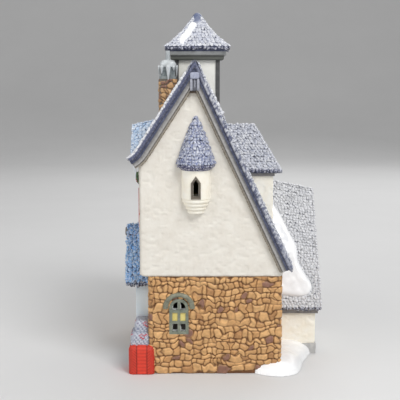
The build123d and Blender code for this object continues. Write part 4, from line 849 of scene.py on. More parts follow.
rear_eave = [REAR_EAVE + (0, side * VERGE, 0) for side, _ in SIDES]
shingles("main_front_shingles", front_slope, 2.7, 2.5, 0.8, MAIN_PAINT, 21,
         obstacle("tower_shaft", "tower_posts", "chimney_stack", "gablet_roof", "gablet_wall"), in_tower,
         0.75, 0.98, ("shingle_courses",))
shingles("main_rear_shingles", patch(*rear_eave, (RIDGE_X, VERGE, RIDGE_Z), (RIDGE_X, -VERGE, RIDGE_Z)),
         2.7, 2.5, 0.8, MAIN_PAINT, 22,
         obstacle("tower_shaft", "tower_posts", "dormer_walls", "dormer_roof", "wing_roof_near_slope",
                  "wing_roof_far_slope"), rear_covered, 0.6, 0.985, ("shingle_courses",))
roof_pair("wing", WING_Y, WING_HALF, [(x, WING_EAVE_Z) for x in (36.0, WING_EAVE_X + 0.1)],
          [(x, wing_ridge(x)) for x in (15.0, WING_EDGE_X)], (1.9, 1.8, 0.7), WING_PAINT, (30, 32),
          below_rear, 0.78)
roof_pair("dormer", DORMER_Y, DORMER_HALF, [(x, DORMER_EAVE_Z) for x in (14.0, DORMER_EAVE_X)],
          [(x, DORMER_RIDGE_Z) for x in (2.0, DORMER_HIP_X)], (2.0, 1.9, 0.7), DORMER_PAINT, (41, 42),
          below_rear, 0.7)
dormer_hip = (DORMER_HIP_X, DORMER_Y, DORMER_RIDGE_Z)
shingles("dormer_hip_shingles",
         patch((DORMER_EAVE_X, DORMER_Y - DORMER_HALF, DORMER_EAVE_Z),
               (DORMER_EAVE_X, DORMER_Y + DORMER_HALF, DORMER_EAVE_Z), dormer_hip, dormer_hip),
         2.0, 1.9, 0.7, DORMER_PAINT, 43, dust=0.6)
gablet_in = [(0, 0), (30 * math.cos(GABLET_FALL), 30 * math.sin(GABLET_FALL))]
roof_pair("gablet", BAY_Y, GABLET_HALF, [(GABLET_X + x, GABLET_FOOT + z) for x, z in gablet_in],
          [(GABLET_X + x, GABLET_TOP + z) for x, z in gablet_in], (2.5, 2.3, 0.7), GABLET_PAINT, (50, 52),
          below_front, 0.8)
roof_pair("hood", BAY_Y, HOOD_HALF, [(x, HOOD_FOOT) for x in (HOOD_X, X_FRONT)],
          [(x, HOOD_TOP) for x in (HOOD_X, X_FRONT)], (2.4, 2.3, 0.75), HOOD_PAINT, (54, 56),
          behind_street_wall, 0.55)
for turn in (0, 90, 180, 270):
    shingles(f"tower_shingles_{turn}", tower_face(turn), 2.6, 2.3, 0.75, TOWER_PAINT, 61 + turn, dust=0.8)


# Rough edges of the roofs

# Rim paints: painted shade for the lumps' undersides, body paint, and the paler paint of their frosted tops.
DRIP = tones((38, 42, 70), (62, 67, 100), (196, 200, 218))
WING_DRIP = [DRIP[0], tone(92, 94, 106), DRIP[2]]
HOOD_DRIP = tones((20, 28, 52), (38, 54, 92), (120, 146, 184))
RIM = tones((48, 52, 76), (84, 90, 116), (232, 234, 240))
FROST = tones((110, 116, 136), (190, 194, 206), (244, 245, 248))

street_verge = front_slope(np.full(40, 1.0), np.linspace(0.0, 0.86, 40))
rear_verge = np.array([rear_eave[0], (RIDGE_X + 2.3, -VERGE, rear_height(RIDGE_X + 2.3))])
rear_drift = np.array([(RIDGE_X + (RIDGE_Z - z) / REAR_RISE, -VERGE + 1.7, z) for z in (153.0, 165.5)])
frost_rows, rows = [], []
for k, flip in enumerate((np.ones(3), np.array([1, -1, 1]))):
    for inset, lift, spacing, sizes, seed, frost, rough in ((0.72, 0.6, 0.6, (1.5, 0.8, 1.2), 101, 1.8, 0.06),
                                                            (2.7, 0.5, 1.6, (1.2, 0.9, 1.3), 103, 1.0, 0.2)):
        line = (street_verge + (0, inset, 0)) * flip + FRONT_OUT * lift
        frost_rows.append(lumps(line, FRONT_OUT, spacing, sizes, FROST, seed + k, frost, rough))
    for line, inset, lift, spacing, sizes, palette, seed, frost in (
            (rear_verge, 0.8, 0.2, 1.5, (1.0, 0.7, 1.0), RIM, 111, 0.9),
            (rear_verge, 2.4, 0.3, 1.5, (1.0, 0.8, 1.1), FROST, 113, 0.8),
            (rear_drift, 0.0, 0.6, 1.3, (1.6, 1.1, 1.5), FROST, 117, 1.4)):
        line = (line + (0, inset, 0)) * flip + REAR_OUT * lift
        rows.append(lumps(line, REAR_OUT, spacing, sizes, palette, seed + k, frost))
make("verge_frost", joined(frost_rows), SHINGLE, ("verge_snow",))
for k, ends in enumerate(((-VERGE + 5, TOWER_Y - 14.6), (TOWER_Y + 14.6, VERGE - 5))):
    crest = [(RIDGE_X, y, RIDGE_Z - 2.6) for y in ends]
    rows.append(lumps(crest, UP, 1.5, (1.3, 1.3, 1.9), FROST, 118 + k, 0.9))
eave = [REAR_EAVE + (-0.6, y, -0.9) for y in (-VERGE + 0.8, VERGE - 0.8)]
rows.append(lumps(eave, REAR_OUT, 2.0, (1.15, 1.0, 1.4), DRIP, 115, 0.5))
eave = front_slope([0.0, 1.0], np.zeros(2)) + (0.4, 0, -0.3)
rows.append(lumps(eave, FRONT_OUT, 2.0, (1.1, 0.9, 1.2), DRIP, 116, 0.5))
make("main_roof_rims", joined(rows), SHINGLE)

rows = []
shares = np.linspace(0, 0.96, 24)
reach = TOWER_HALF * np.polyval(BELL, shares)
corners, drip = [(-1, -1), (1, -1), (1, 1), (-1, 1)], TOWER_HALF - 0.9
for k, (a, b) in enumerate(zip(corners, corners[1:] + corners[:1])):
    line = [(TOWER_X + drip * x, TOWER_Y + drip * y, TOWER_EAVE_Z - 0.5) for x, y in (a, b)]
    away = (0.4 * (a[0] + b[0]), 0.4 * (a[1] + b[1]), 0.6)
    rows.append(lumps(line, away, 2.2, (1.3, 0.9, 1.5), DRIP, 121 + k, 0.42))
    hip = np.stack([TOWER_X + a[0] * reach, TOWER_Y + a[1] * reach, TOWER_EAVE_Z + TOWER_RISE * shares], 1)
    rows.append(lumps(hip, np.array([*a, 1]) / 1.732, 1.7, (1.1, 0.75, 0.9), TOWER_PAINT, 127 + k, 0.7))
make("tower_roof_rims", joined(rows), SHINGLE)

dormer_foot = [(x, DORMER_Y + side * DORMER_HALF, DORMER_EAVE_Z - 0.5)
               for side, _ in SIDES for x in (15.0, DORMER_EAVE_X)]
rows = [lumps(line, UP, 2.1, (1.2, 1.35, 0.9), DRIP, 131 + k, 0.45)
        for k, line in enumerate((dormer_foot[:2], dormer_foot[2:], dormer_foot[1::2]))]
for k, (side, _) in enumerate(SIDES):
    hip = [(DORMER_EAVE_X, DORMER_Y + side * DORMER_HALF, DORMER_EAVE_Z), dormer_hip]
    rows.append(lumps(hip, (0.6, 0, 0.8), 1.7, (1.15, 0.8, 0.9), DORMER_PAINT, 135 + k, 0.6))
ridge = [(x, DORMER_Y, DORMER_RIDGE_Z + 0.1) for x in (4.0, DORMER_HIP_X)]
rows.append(lumps(ridge, UP, 1.8, (1.2, 0.8, 1.1), DORMER_PAINT, 138, 0.7))
make("dormer_roof_rims", joined(rows), SHINGLE)

rows = []
for k, (side, _) in enumerate(SIDES):
    y = WING_Y + side * WING_HALF
    eave = [(x, y, WING_EAVE_Z - 0.4) for x in (X_REAR, WING_EAVE_X)]
    rows.append(lumps(eave, UP, 2.1, (1.2, 1.3, 0.9), WING_DRIP, 141 + k, 0.5))
    verge = [(WING_EAVE_X, y, WING_EAVE_Z), (WING_EDGE_X, WING_Y, wing_ridge(WING_EDGE_X))]
    rows.append(lumps(verge, (1, 0, 0), 1.7, (1.15, 0.7, 0.9), WING_PAINT, 143 + k, 0.7))
ridge = [(x, WING_Y, wing_ridge(x) + 0.2) for x in (21.5, WING_EDGE_X)]
rows.append(lumps(ridge, UP, 1.8, (1.2, 0.9, 1.1), WING_PAINT, 145, 0.8))
make("wing_roof_rims", joined(rows), SHINGLE)

rows = []
for k, (side, _) in enumerate(SIDES):
    y = BAY_Y + side * HOOD_HALF
    eave = [(x, y, HOOD_FOOT - 0.4) for x in (HOOD_X + 0.3, X_FRONT)]
    rows.append(lumps(eave, UP, 2.0, (1.3, 1.5, 0.9), HOOD_DRIP, 151 + k, 0.4))
    verge = [(HOOD_X + 0.2, y, HOOD_FOOT), (HOOD_X + 0.2, BAY_Y, HOOD_TOP)]
    rows.append(lumps(verge, STREETWARDS, 1.9, (1.3, 0.9, 1.0), HOOD_PAINT, 153 + k, 0.6))
    verge = [(GABLET_X + 0.3, BAY_Y + side * GABLET_HALF, GABLET_FOOT), (GABLET_X + 0.3, BAY_Y, GABLET_TOP)]
    rows.append(lumps(verge, STREETWARDS, 1.8, (1.2, 0.7, 0.9), GABLET_PAINT, 155 + k, 0.8))
ridge = [(x, BAY_Y, HOOD_TOP + 0.2) for x in (HOOD_X + 0.4, UPPER_FRONT)]
rows.append(lumps(ridge, UP, 1.8, (1.2, 1.0, 1.2), HOOD_PAINT, 157, 0.5))
ridge = [(GABLET_X + 0.4, BAY_Y, GABLET_TOP + 0.2),
         (GABLET_X + 15.0, BAY_Y, GABLET_TOP + 0.2 + 15 * math.tan(GABLET_FALL))]
rows.append(lumps(ridge, UP, 1.8, (1.2, 0.8, 1.2), GABLET_PAINT, 158, 0.8))
make("street_roof_rims", joined(rows), SHINGLE)


# Turret

ORIEL_EAVE, ORIEL_EAVE_RADIUS, ORIEL_TIP_RADIUS = ORIEL_TOP + ORIEL_BRIM, 10.6, 0.5
SUNK = 0.4


def half_ring(radius, z):
    """Half circle at the near gable, from its rear end to its street end, both a little inside the wall."""
    turn = np.linspace(0, np.pi, 25)
    return np.stack([ORIEL_X + radius * np.cos(turn), SUNK - GABLE - (radius + SUNK) * np.sin(turn),
                     np.full(25, z)], 1)


def oriel_radius(share):
    """Radius of the turret's roof at a share of its rise."""
    return blend(ORIEL_EAVE_RADIUS, ORIEL_TIP_RADIUS, share) + 0.5 * np.sin(np.pi * share)


def oriel_cone(u, t):
    """Outside of the turret's roof."""
    turn = np.pi * (1 + u)
    return np.stack([ORIEL_X + oriel_radius(t) * np.cos(turn), -GABLE + oriel_radius(t) * np.sin(turn),
                     ORIEL_EAVE + ORIEL_RISE * t], -1)


def lancet(half, low, shoulder, high):
    """Outline of the pointed slit, across and up from the turret's sill."""
    haunch = (shoulder + 1.2 * high) / 2.2
    return np.array([(-half, low), (half, low), (half, shoulder), (0.45 * half, haunch), (0.0, high),
                     (-0.45 * half, haunch), (-half, shoulder)])


def bay_place(u, v, h):
    """Round wall of the turret."""
    turn, radius = np.pi + u / ORIEL_RADIUS, ORIEL_RADIUS + h
    return np.stack([ORIEL_X + radius * np.cos(turn), -GABLE + radius * np.sin(turn), v], 1)


rings = [half_ring(8.4, ORIEL_TOP), half_ring(9.9, ORIEL_TOP + 1.6), half_ring(10.4, ORIEL_EAVE)]
rings += [half_ring(oriel_radius(s) - 0.3, ORIEL_EAVE + ORIEL_RISE * s) for s in np.linspace(0.04, 1.0, 14)]
points, faces = lofted(rings)
paint = np.where(points[:, 2:] < ORIEL_EAVE + 0.5, tone(58, 60, 108), tone(70, 78, 124))
make("oriel_roof_core", (points, faces, paint), SHINGLE, ("oriel_roof",))
shingles("oriel_shingles", oriel_cone, 1.9, 1.85, 0.9, ORIEL_PAINT, 71, dust=0.7)
# Brim paint: painted shade for the lumps' undersides, body paint and frost.
BRIM_PAINT = [*tones((40, 42, 88), (58, 61, 114)), ORIEL_PAINT[2]]
oriel_tip = [(ORIEL_X + x, -GABLE - 0.5, ORIEL_EAVE + ORIEL_RISE + z) for x, z in ((-0.3, -1.0), (0.3, 0.2))]
rows = [lumps(half_ring(10.3, ORIEL_TOP + 2.4), (0, -0.6, 0.8), 1.9, (1.2, 0.8, 0.9), BRIM_PAINT, 161, 0.18),
        lumps(oriel_tip, (0, -1, 0), 0.5, (0.9, 0.9, 0.9), ORIEL_PAINT, 162, 0.3)]
make("oriel_roof_rims", joined(rows), SHINGLE)

CORBEL_STEPS, CORBEL_DROP, CORBEL_SIZE = 4, 2.15, 8.15
rings = []
for k in range(CORBEL_STEPS):
    size = CORBEL_SIZE * (1 - 0.54 * (k + 0.2) / CORBEL_STEPS)
    for share in (0.02, 0.14, 0.34, 0.56, 0.76, 0.92, 1.0):
        bulge = 0.55 * math.sin(math.pi * share) ** 0.6 - 0.35
        rings.append(half_ring(size + bulge, ORIEL_SILL - CORBEL_DROP * (k + share)))
make("oriel_corbel_rings", lofted(rings), LIT_STUCCO, ("oriel_corbel",))

u, v = np.meshgrid(np.linspace(0.0, np.pi, 61) * ORIEL_RADIUS, np.linspace(ORIEL_SILL, ORIEL_TOP, 46))
slit = lancet(1.9, 1.6, 9.0, 11.9) + (np.pi / 2 * ORIEL_RADIUS, ORIEL_SILL)
shape = relief(u, v, bay_place, lambda a, b: 0.05 * cloud(a / 4, b / 4, 5),
               lambda a, b: -polygon_distance(a, b, slit), 1.8, back=True)
make("oriel_bay_round", shape, LIT_STUCCO, ("oriel_bay",), sharp=50)

points = []
for size, out in (((2.8, 0.4, 9.6, 13.6), 7.2), ((2.8, 0.4, 9.6, 13.6), 8.5), ((2.65, 0.55, 9.5, 13.4), 8.7),
                  ((2.15, 1.1, 9.2, 12.4), 8.7), ((2.0, 1.3, 9.0, 12.1), 8.2), ((1.75, 1.6, 8.9, 11.6), 8.2),
                  ((1.6, 1.75, 8.8, 11.3), 7.6), ((1.6, 1.75, 8.8, 11.3), 6.4)):
    points += [(ORIEL_X + across, -GABLE - out, ORIEL_SILL + up) for across, up in lancet(*size)]
make("oriel_lancet_frame", (points, grid_faces(8, 7, around=True)), LANCET,
     ("oriel_window_frame",), sharp=30, closed=True)


# Stucco

def stucco_wall(name, origin, outward, across, levels, keep, depth, seed, step=0.6, soft=0.0, back=False,
                replaces=(), material=LIT_STUCCO):
    """Trowelled facing on an upright wall, or a whole slab where it has a back; soft rounds its edges."""
    along = (0, 1, 0) if outward[0] else (1, 0, 0)
    u, v = np.meshgrid(np.arange(across[0], across[1] + step / 2, step),
                       np.arange(levels[0], levels[1] + step / 2, step))

    def place(a, b, h):
        return np.array(origin) + np.outer(a, along) + np.outer(h, outward) + np.outer(b, UP)

    def height(a, b):
        dents = smooth(0.30, 0.72, noise2(a / 2.6, b / 1.9, seed + 9))
        blobs = smooth(0.55, 0.9, noise2(a / 2.0, b / 1.6, seed + 17))
        trowelled = 0.12 * cloud(a / 6, b / 5, seed) - 0.26 * dents + 0.2 * blobs
        if not soft:
            return trowelled + 0.45
        inside = np.clip(-keep(a, b), 0, soft)
        return trowelled - soft + np.sqrt(np.maximum(soft ** 2 - (soft - inside) ** 2, 0))

    shape = relief(u, v, place, height, keep, depth, back=back)
    make(name, shape, material, replaces, sharp=60)


def box_keep(box, *openings):
    """Outline of a rectangle with rectangular openings."""
    def keep(u, v):
        return np.maximum.reduce([rectangle_distance(u, v, *box)]
                                 + [-rectangle_distance(u, v, *opening) for opening in openings])
    return keep


def outline_keep(corners, swell, opening):
    """Outline swollen to round corners, with a rectangular opening."""
    def keep(u, v):
        return np.maximum(polygon_distance(u, v, corners) - swell, -rectangle_distance(u, v, *opening))
    return keep


CORNER = 2.4
GABLE_INNER = [(-41.2, STOREY + CORNER), (37.1, STOREY + CORNER), (37.1, 66.0), (RIDGE_X - 0.5, 170.9),
               (-41.2, 126.0)]
WING_END = [(-18.4, 6.8), (34.4, 6.8), (34.4, 28), (WING_Y, 90), (-18.4, 28)]
for (side, label), opening, step in zip(SIDES, ((ORIEL_X, ORIEL_SILL + 8.2, 8.0, 12.8),
                                                (RIDGE_X, CASEMENT_Z, *CASEMENT)), (0.6, 0.8)):
    stucco_wall(f"gable_stucco_{label}", (0, side * GABLE, 0), (0, side, 0), (-44, 40), (STOREY, 172),
                outline_keep(GABLE_INNER, CORNER, opening), 3.6, 3 + (side > 0), step, 1.2, True,
                (f"gable_wall_{label}",), STUCCO)
stucco_wall("street_stucco", (UPPER_FRONT, 0, 0), STREETWARDS, (-56, 56), (STOREY + 0.5, 127),
            box_keep((0, 92.6, 111.6, 67.4), (BAY_Y, CASEMENT_Z, *CASEMENT),
                     (FAR_CASEMENT_Y, CASEMENT_Z, *CASEMENT)),
            0.6, 5, 0.8, material=STUCCO)
stucco_wall("dormer_stucco_face", (DORMER_WALL_X, 0, 0), (1, 0, 0),
            (DORMER_Y - DORMER_WALL_HALF, DORMER_Y + DORMER_WALL_HALF), DORMER_LEVELS,
            box_keep((DORMER_Y, DORMER_MIDDLE_Z, 31.4, DORMER_FACE_HEIGHT),
                     (DORMER_Y, DORMER_CASEMENT_Z, *CASEMENT)), 0.5, 6, 0.7)
for side, seed in ((-1, 7), (1, 8)):
    stucco_wall(f"dormer_stucco_{seed}", (0, DORMER_Y + side * DORMER_WALL_HALF, 0), (0, side, 0),
                (17, DORMER_WALL_X), DORMER_LEVELS,
                box_keep((25.9, DORMER_MIDDLE_Z, 16.6, DORMER_FACE_HEIGHT)), 0.5, seed)
    stucco_wall(f"wing_stucco_{seed}", (0, WING_Y + side * WING_WALL_HALF, 0), (0, side, 0),
                (X_REAR, WING_WALL_X), (6.4, 28), box_keep((50.9, 16.8, 24.6, 20.6)), 0.5, seed + 3)
stucco_wall("wing_stucco_end", (WING_WALL_X, 0, 0), (1, 0, 0),
            (WING_Y - WING_WALL_HALF, WING_Y + WING_WALL_HALF), (6.6, 93),
            outline_keep(WING_END, 0, (WING_Y, WING_CASEMENT_Z, *CASEMENT)), 0.5, 12, 0.8)


# Snow

WING_SLOPE = (wing_ridge(50) - WING_EAVE_Z) / WING_HALF
wing_snow_edge = rounded_curve([(28, 97), (35, 95.8), (42.2, 86.8), (46.8, 78), (52.2, 67.3), (53.6, 57.4),
                                (59, 48), (61.6, 43.2), (59.6, 38.6), (53.5, 36.8), (42, 37.6), (34, 38),
                                (28, 60)], 8)
drift_edge = rounded_curve([(22.5, -57.5), (27, -60.8), (32.2, -63.4), (38, -64.4), (44.1, -62.6),
                            (49, -58.2), (52, -49), (54.4, -37.8), (58.4, -27), (61, -16), (54, 0), (30, 0),
                            (18, -30), (20, -52)], 6)
DRIFT_RISE, DRIFT_RUN, DRIFT_SUNK = 8.4, 15.0, 0.2
TOWER_PATCH_LINE, TOWER_PATCH_HALF = [(-9.4, 3.2), (-2.6, 12.9)], 2.2


def snow_patch(name, u, v, place, keep, high, seed, replaces=()):
    """Rounded snow on a surface."""
    def height(a, b):
        inside = np.maximum(-keep(a, b), 0)
        bulge = np.sqrt(np.clip(1 - np.maximum(1 - inside / (1.4 * high), 0) ** 2, 0, 1))
        return high * bulge + 0.18 * high * cloud(a / 7, b / 7, seed) * smooth(0, 2, inside)

    make(name, relief(u, v, place, height, keep, 0.5), SNOW, replaces)


def wing_place(u, v, h):
    """Near slope of the wing's roof by x and height."""
    lift = (h + 0.5) / math.hypot(1, WING_SLOPE)
    return np.stack([u, WING_Y - wing_reach(u, v) - lift * WING_SLOPE, v + lift], 1)


def wing_snow_keep(u, v):
    """Snow outline, cut back where the main roof stands."""
    bare = np.where(v > REAR_FOOT_Z, (rear_height(u) - v) * REAR_OUT[2] - 2.0, X_REAR - u)
    return np.maximum(polygon_distance(u, v, wing_snow_edge), bare)


def tower_patch_place(u, v, h):
    """Near side of the tower's roof by distance along it and height."""
    t = v / TOWER_RISE
    slope = -TOWER_HALF / TOWER_RISE * np.polyval(np.polyder(BELL), t)
    lift = (h + 0.45) / np.sqrt(1 + slope ** 2)
    return np.stack([TOWER_X + u, TOWER_Y - TOWER_HALF * np.polyval(BELL, t) - lift,
                     TOWER_EAVE_Z + v + lift * slope], 1)


def tower_patch_keep(u, v):
    """Slanting patch with a wavy edge."""
    return polygon_distance(u, v, TOWER_PATCH_LINE) - TOWER_PATCH_HALF - 0.7 * noise2(u / 2.4, v / 2.4, 83)


def drift_keep(u, v):
    """Ground snow up to the walls of the house and of the wing."""
    house = np.minimum(X_REAR - DRIFT_SUNK - u, v - Y_NEAR - DRIFT_SUNK)
    wing = v - (WING_Y - WING_WALL_HALF) - DRIFT_SUNK
    return np.maximum(np.maximum(polygon_distance(u, v, drift_edge), house), wing)


def drift_height(u, v):
    """Rise of the ground snow from its free edge."""
    share = np.clip(-polygon_distance(u, v, drift_edge) / DRIFT_RUN, 0, 1)
    bank = DRIFT_RISE * np.sqrt(1 - (1 - share) ** 2)
    return bank + 0.4 * cloud(u / 9, v / 9, 85) * smooth(0.1, 0.4, share)


snow_patch("wing_snow_drift", *np.meshgrid(np.arange(28, 64, 0.7), np.arange(35, 98, 0.7)), wing_place,
           wing_snow_keep, 2.0, 81, ("wing_roof_snow",))
snow_patch("tower_snow_patch", *np.meshgrid(np.linspace(-0.85, 0.5, 40) * 14,
                                            np.linspace(0.05, 0.8, 46) * TOWER_RISE),
           tower_patch_place, tower_patch_keep, 0.8, 84)
shape = relief(*np.meshgrid(np.arange(21, 62.5, 0.7), np.arange(-66, -18, 0.7)),
               lambda a, b, h: np.stack([a, b, np.maximum(h, 0.0)], 1), drift_height, drift_keep, 9.0)
make("ground_snow_drift", shape, SNOW, ("ground_snow",))


# Verges

# Points of the moulding's section: in from the roof's top, out from the verge, paint
# The paint darkens down the slab's edge; the near-black step under the slab is painted shade, and the
# dark-brown line where the moulding meets the stucco is a painted shadow.
MOULD = [(-0.15, -4.5, (150, 154, 172)), (-0.15, 0.1, (128, 132, 154)), (0.3, 0.5, (92, 98, 128)),
         (1.3, 0.6, (78, 83, 110)), (2.2, 0.5, (60, 63, 86)), (2.35, 0.1, (30, 30, 40)),
         (2.4, -1.2, (26, 26, 32)), (3.05, -1.3, (44, 44, 48)), (3.1, -0.9, (118, 117, 120)),
         (3.4, -0.75, (136, 135, 137)), (4.6, -0.8, (150, 148, 147)), (5.2, -0.75, (164, 162, 160)),
         (5.6, -0.7, (182, 179, 176)), (5.95, -0.85, (150, 147, 143)), (6.0, -1.7, (70, 62, 54)),
         (7.1, -2.0, (186, 177, 162)), (7.1, -4.5, (186, 177, 162))]
# Blocks of a king post: place from the apex, half width, half height, out from the verge, paint
# The dark block set back behind the legs is painted shade, and the thin dark-brown strip at the foot is a
# painted shadow.
KING_POST = [(0, -8.9, 2.7, 1.9, 1.0, (170, 175, 196)), (-1.95, -14.0, 0.8, 3.5, 0.5, (166, 168, 180)),
             (1.95, -14.0, 0.8, 3.5, 0.5, (166, 168, 180)), (0, -13.2, 2.7, 4.2, -0.5, (96, 98, 110)),
             (0, -13.4, 0.55, 2.6, -0.1, (150, 152, 164)), (0, -18.2, 3.2, 0.6, -2.4, (96, 80, 66))]
# Rope paint: painted shade for the strands' undersides, body paint and edge paint.
ROPE = tones((128, 114, 97), (182, 168, 148), (212, 200, 182))
ROPE_DEPTH, MITRE_REACH = 7.35, 13.0


def gable_line(y):
    """Top line of the main slopes at a verge, street eave to rear eave, with its mitred inward directions."""
    street = front_slope(np.full(26, 0.5), np.linspace(0, 1, 26))
    rear = street[-1] + np.linspace(0, 1, 200)[1:, None] * (REAR_EAVE - street[-1])
    line = np.vstack([street, rear])
    gap = np.linalg.norm(line - street[-1], axis=1)
    line = line[(gap == 0) | (gap > MITRE_REACH)]
    line[:, 1] = y
    ways = np.diff(line, axis=0)
    ways /= np.linalg.norm(ways, axis=1, keepdims=True)
    inward = np.stack([ways[:, 2], np.zeros(len(ways)), -ways[:, 0]], 1)
    before, after = np.vstack([inward[:1], inward]), np.vstack([inward, inward[-1:]])
    return line, (before + after) / (1 + (before * after).sum(1, keepdims=True))


def soft_slab(middle, half_size, back, front, side):
    """Upright block with rounded corners and a worn face."""
    return lofted([ring_at(middle, side * depth, share * np.array(half_size), 20, 0.5)[:, [0, 2, 1]]
                   for share, depth in ((1, back), (1, front - 0.6), (0.93, front - 0.25), (0.7, front))])


depths, outs = np.array([(depth, out, 0) for depth, out, _ in MOULD]).T[:2, :, None]
for side, name in SIDES:
    out = np.array([0.0, side, 0.0])
    line, inward = gable_line(side * VERGE)
    points, faces = lofted(line[:, None] + inward[:, None] * depths + out * outs)
    points[:, 2] = np.minimum(points[:, 2], RIDGE_Z - 1.2)
    x, _, z = points.T
    depth = np.tile(depths[:, 0], len(line))
    fleck = smooth(-0.3, 0.35, noise2(z / 0.75, depth / 0.5, 67 + side)) * smooth(2.1, 1.0, depth)
    fleck = 0.85 * fleck * (x > RIDGE_X + 1.0) * smooth(30.0, 110.0, z)
    paint = blend(np.tile(tones(*(colour for *_, colour in MOULD)), (len(line), 1)), tone(236, 238, 242),
                  fleck[:, None])
    make(f"{name}_verge_moulding", (points, faces, paint), TRIM,
         (f"{name}_front_bargeboard", f"{name}_rear_bargeboard"), sharp=35, closed=True)
    rope = line + ROPE_DEPTH * inward
    rope[:, 1] = side * (GABLE + 0.4)
    rope = rope[(rope[:, 0] > UPPER_FRONT + 1.0) & (rope[:, 2] > STOREY + 1.0)]
    strands = lumps(rope, out, 0.8, (0.4, 0.4, 0.35), ROPE, 71 + side, 0.0)
    make(f"{name}_verge_rope", strands, TRIM)
    bits = [(*soft_slab((RIDGE_X - 0.3 + x, RIDGE_Z + z), (wide, tall), GABLE - 0.6, VERGE + proud, side),
             tone(*colour)) for x, z, wide, tall, proud, colour in KING_POST]
    make(f"{name}_king_post", joined(bits), TRIM, ("gable_king_posts",), sharp=40, closed=True)

points, faces = lofted([ring_at((TOWER_X, TOWER_Y), z, radius, 20) for z, radius in (
    (205.4, 7.0), (206.6, 6.5), (207.8, 5.9), (209.0, 5.1), (210.4, 4.2), (211.6, 3.4), (212.6, 2.7),
    (213.4, 2.0), (213.9, 1.3), (214.2, 0.2))])
x, y, z = points.T
share = smooth(206.4, 211.4, z + 1.8 * noise2(x / 1.4, y / 1.4, 64))
paint = blend(tone(206, 209, 221), tone(104, 115, 147), share[:, None])
make("tower_tip_cap", (points, faces, paint), TRIM, ("tower_finial",), closed=True)


# Chimney ice

def icicle(top, length, radius):
    """Hanging drop, thick at its root."""
    return lofted([ring_at(top, top[2] - length * share, radius * size, 9) for share, size in (
        (-0.12, 0.9), (0.1, 1.0), (0.4, 0.72), (0.75, 0.42), (0.95, 0.22), (1.0, 0.05))])


rings = []
turn = np.linspace(0, 2 * np.pi, 48, endpoint=False)
for lift, half in ((7.0, 4.5), (7.4, 4.9), (8.2, 5.1), (9.2, 5.0), (10.2, 4.6), (11.0, 3.8), (11.6, 2.4),
                   (11.8, 0.3)):
    swell = half * (1 + 0.14 * noise2(turn * 1.9, np.full(48, lift * 0.6), 87))
    rings.append(ring_at((CHIMNEY_X, CHIMNEY_Y), CHIMNEY_TOP + lift, swell[:, None], 48, 0.55))
bits = [(*lofted(rings), tone(222, 227, 229))]
for x, y, long, thick in ((0.4, -5.4, 8.8, 1.5), (-3.6, -5.0, 4.6, 1.2), (3.8, -5.0, 2.6, 1.0),
                          (-5.3, -1.6, 6.0, 0.95), (-5.3, 2.4, 3.6, 0.8), (5.3, -2.0, 4.4, 0.9),
                          (5.3, 2.2, 6.4, 0.95), (-2.2, 5.3, 5.2, 0.95), (2.4, 5.3, 3.2, 0.85)):
    root = (CHIMNEY_X + x, CHIMNEY_Y + y, CHIMNEY_TOP + 7.6)
    bits.append((*icicle(root, long, thick), tone(234, 239, 241)))
points, faces, paint = joined(bits)
x, y, z = points.T
# Painted shade: the ice darkens in noise-shaped patches.
unshaded = smooth(-0.3, 0.7, noise2(x / 1.6 + y / 2.3, z / 1.5, 89))
paint = paint * (0.72 + 0.28 * unshaded[:, None])
make("chimney_ice_cap", (points, faces, paint), GLAZE, ("chimney_snow",), closed=True)


# Woollens

def knit_block(box, radius, pattern):
    """Soft block with a knitted skin: the pattern gives relief and paint by place along a face and height."""
    (x0, x1), (y0, y1), (z0, z1) = box
    plan = []
    for corner, way, length in (((x0, y0), (1, 0), x1 - x0), ((x1, y0), (0, 1), y1 - y0),
                                ((x1, y1), (-1, 0), x1 - x0), ((x0, y1), (0, -1), y1 - y0)):
        way = np.array(way, float)
        out = np.array([way[1], -way[0]])
        for u in np.arange(radius, length - radius + 0.01, 0.33):
            plan.append((*(corner + way * u), *out, u, length))
        centre = corner + way * (length - radius) - out * radius
        for bend in np.radians((15, 35, 55, 75)):
            normal = out * math.cos(bend) + way * math.sin(bend)
            plan.append((*(centre + normal * radius), *normal, length - radius + radius * bend, length))
    plan = np.array(plan)
    profile = [(z, 0.0, 1.0, 0.0, z) for z in np.arange(z0, z1 - radius, 0.33)]
    profile += [(z1 - radius + radius * math.sin(a), radius * (1 - math.cos(a)), math.cos(a), math.sin(a),
                 z1 - radius + radius * a) for a in np.linspace(0, np.pi / 2, 7)]
    rings, paints = [], []
    for z, inset, sideways, upward, way in profile:
        lift, paint = pattern(plan[:, 4], plan[:, 5], np.full(len(plan), way))
        flat = plan[:, :2] + plan[:, 2:4] * (lift * sideways - inset)[:, None]
        rings.append(np.column_stack([flat, z + lift * upward]))
        paints.append(paint)
    middle, rim = np.array([(x0 + x1) / 2, (y0 + y1) / 2, z1]), rings[-1]
    for share in (0.9, 0.8, 0.7, 0.6, 0.5, 0.4, 0.3, 0.2, 0.1, 0.02):
        lift, paint = pattern(plan[:, 4], plan[:, 5], np.full(len(plan), z1 + 0.5 + 6.0 * (1 - share)))
        ring = middle + (rim - middle) * share
        ring[:, 2] = z1 + lift
        rings.append(ring)
        paints.append(paint)
    return (*lofted(rings), np.vstack(paints))


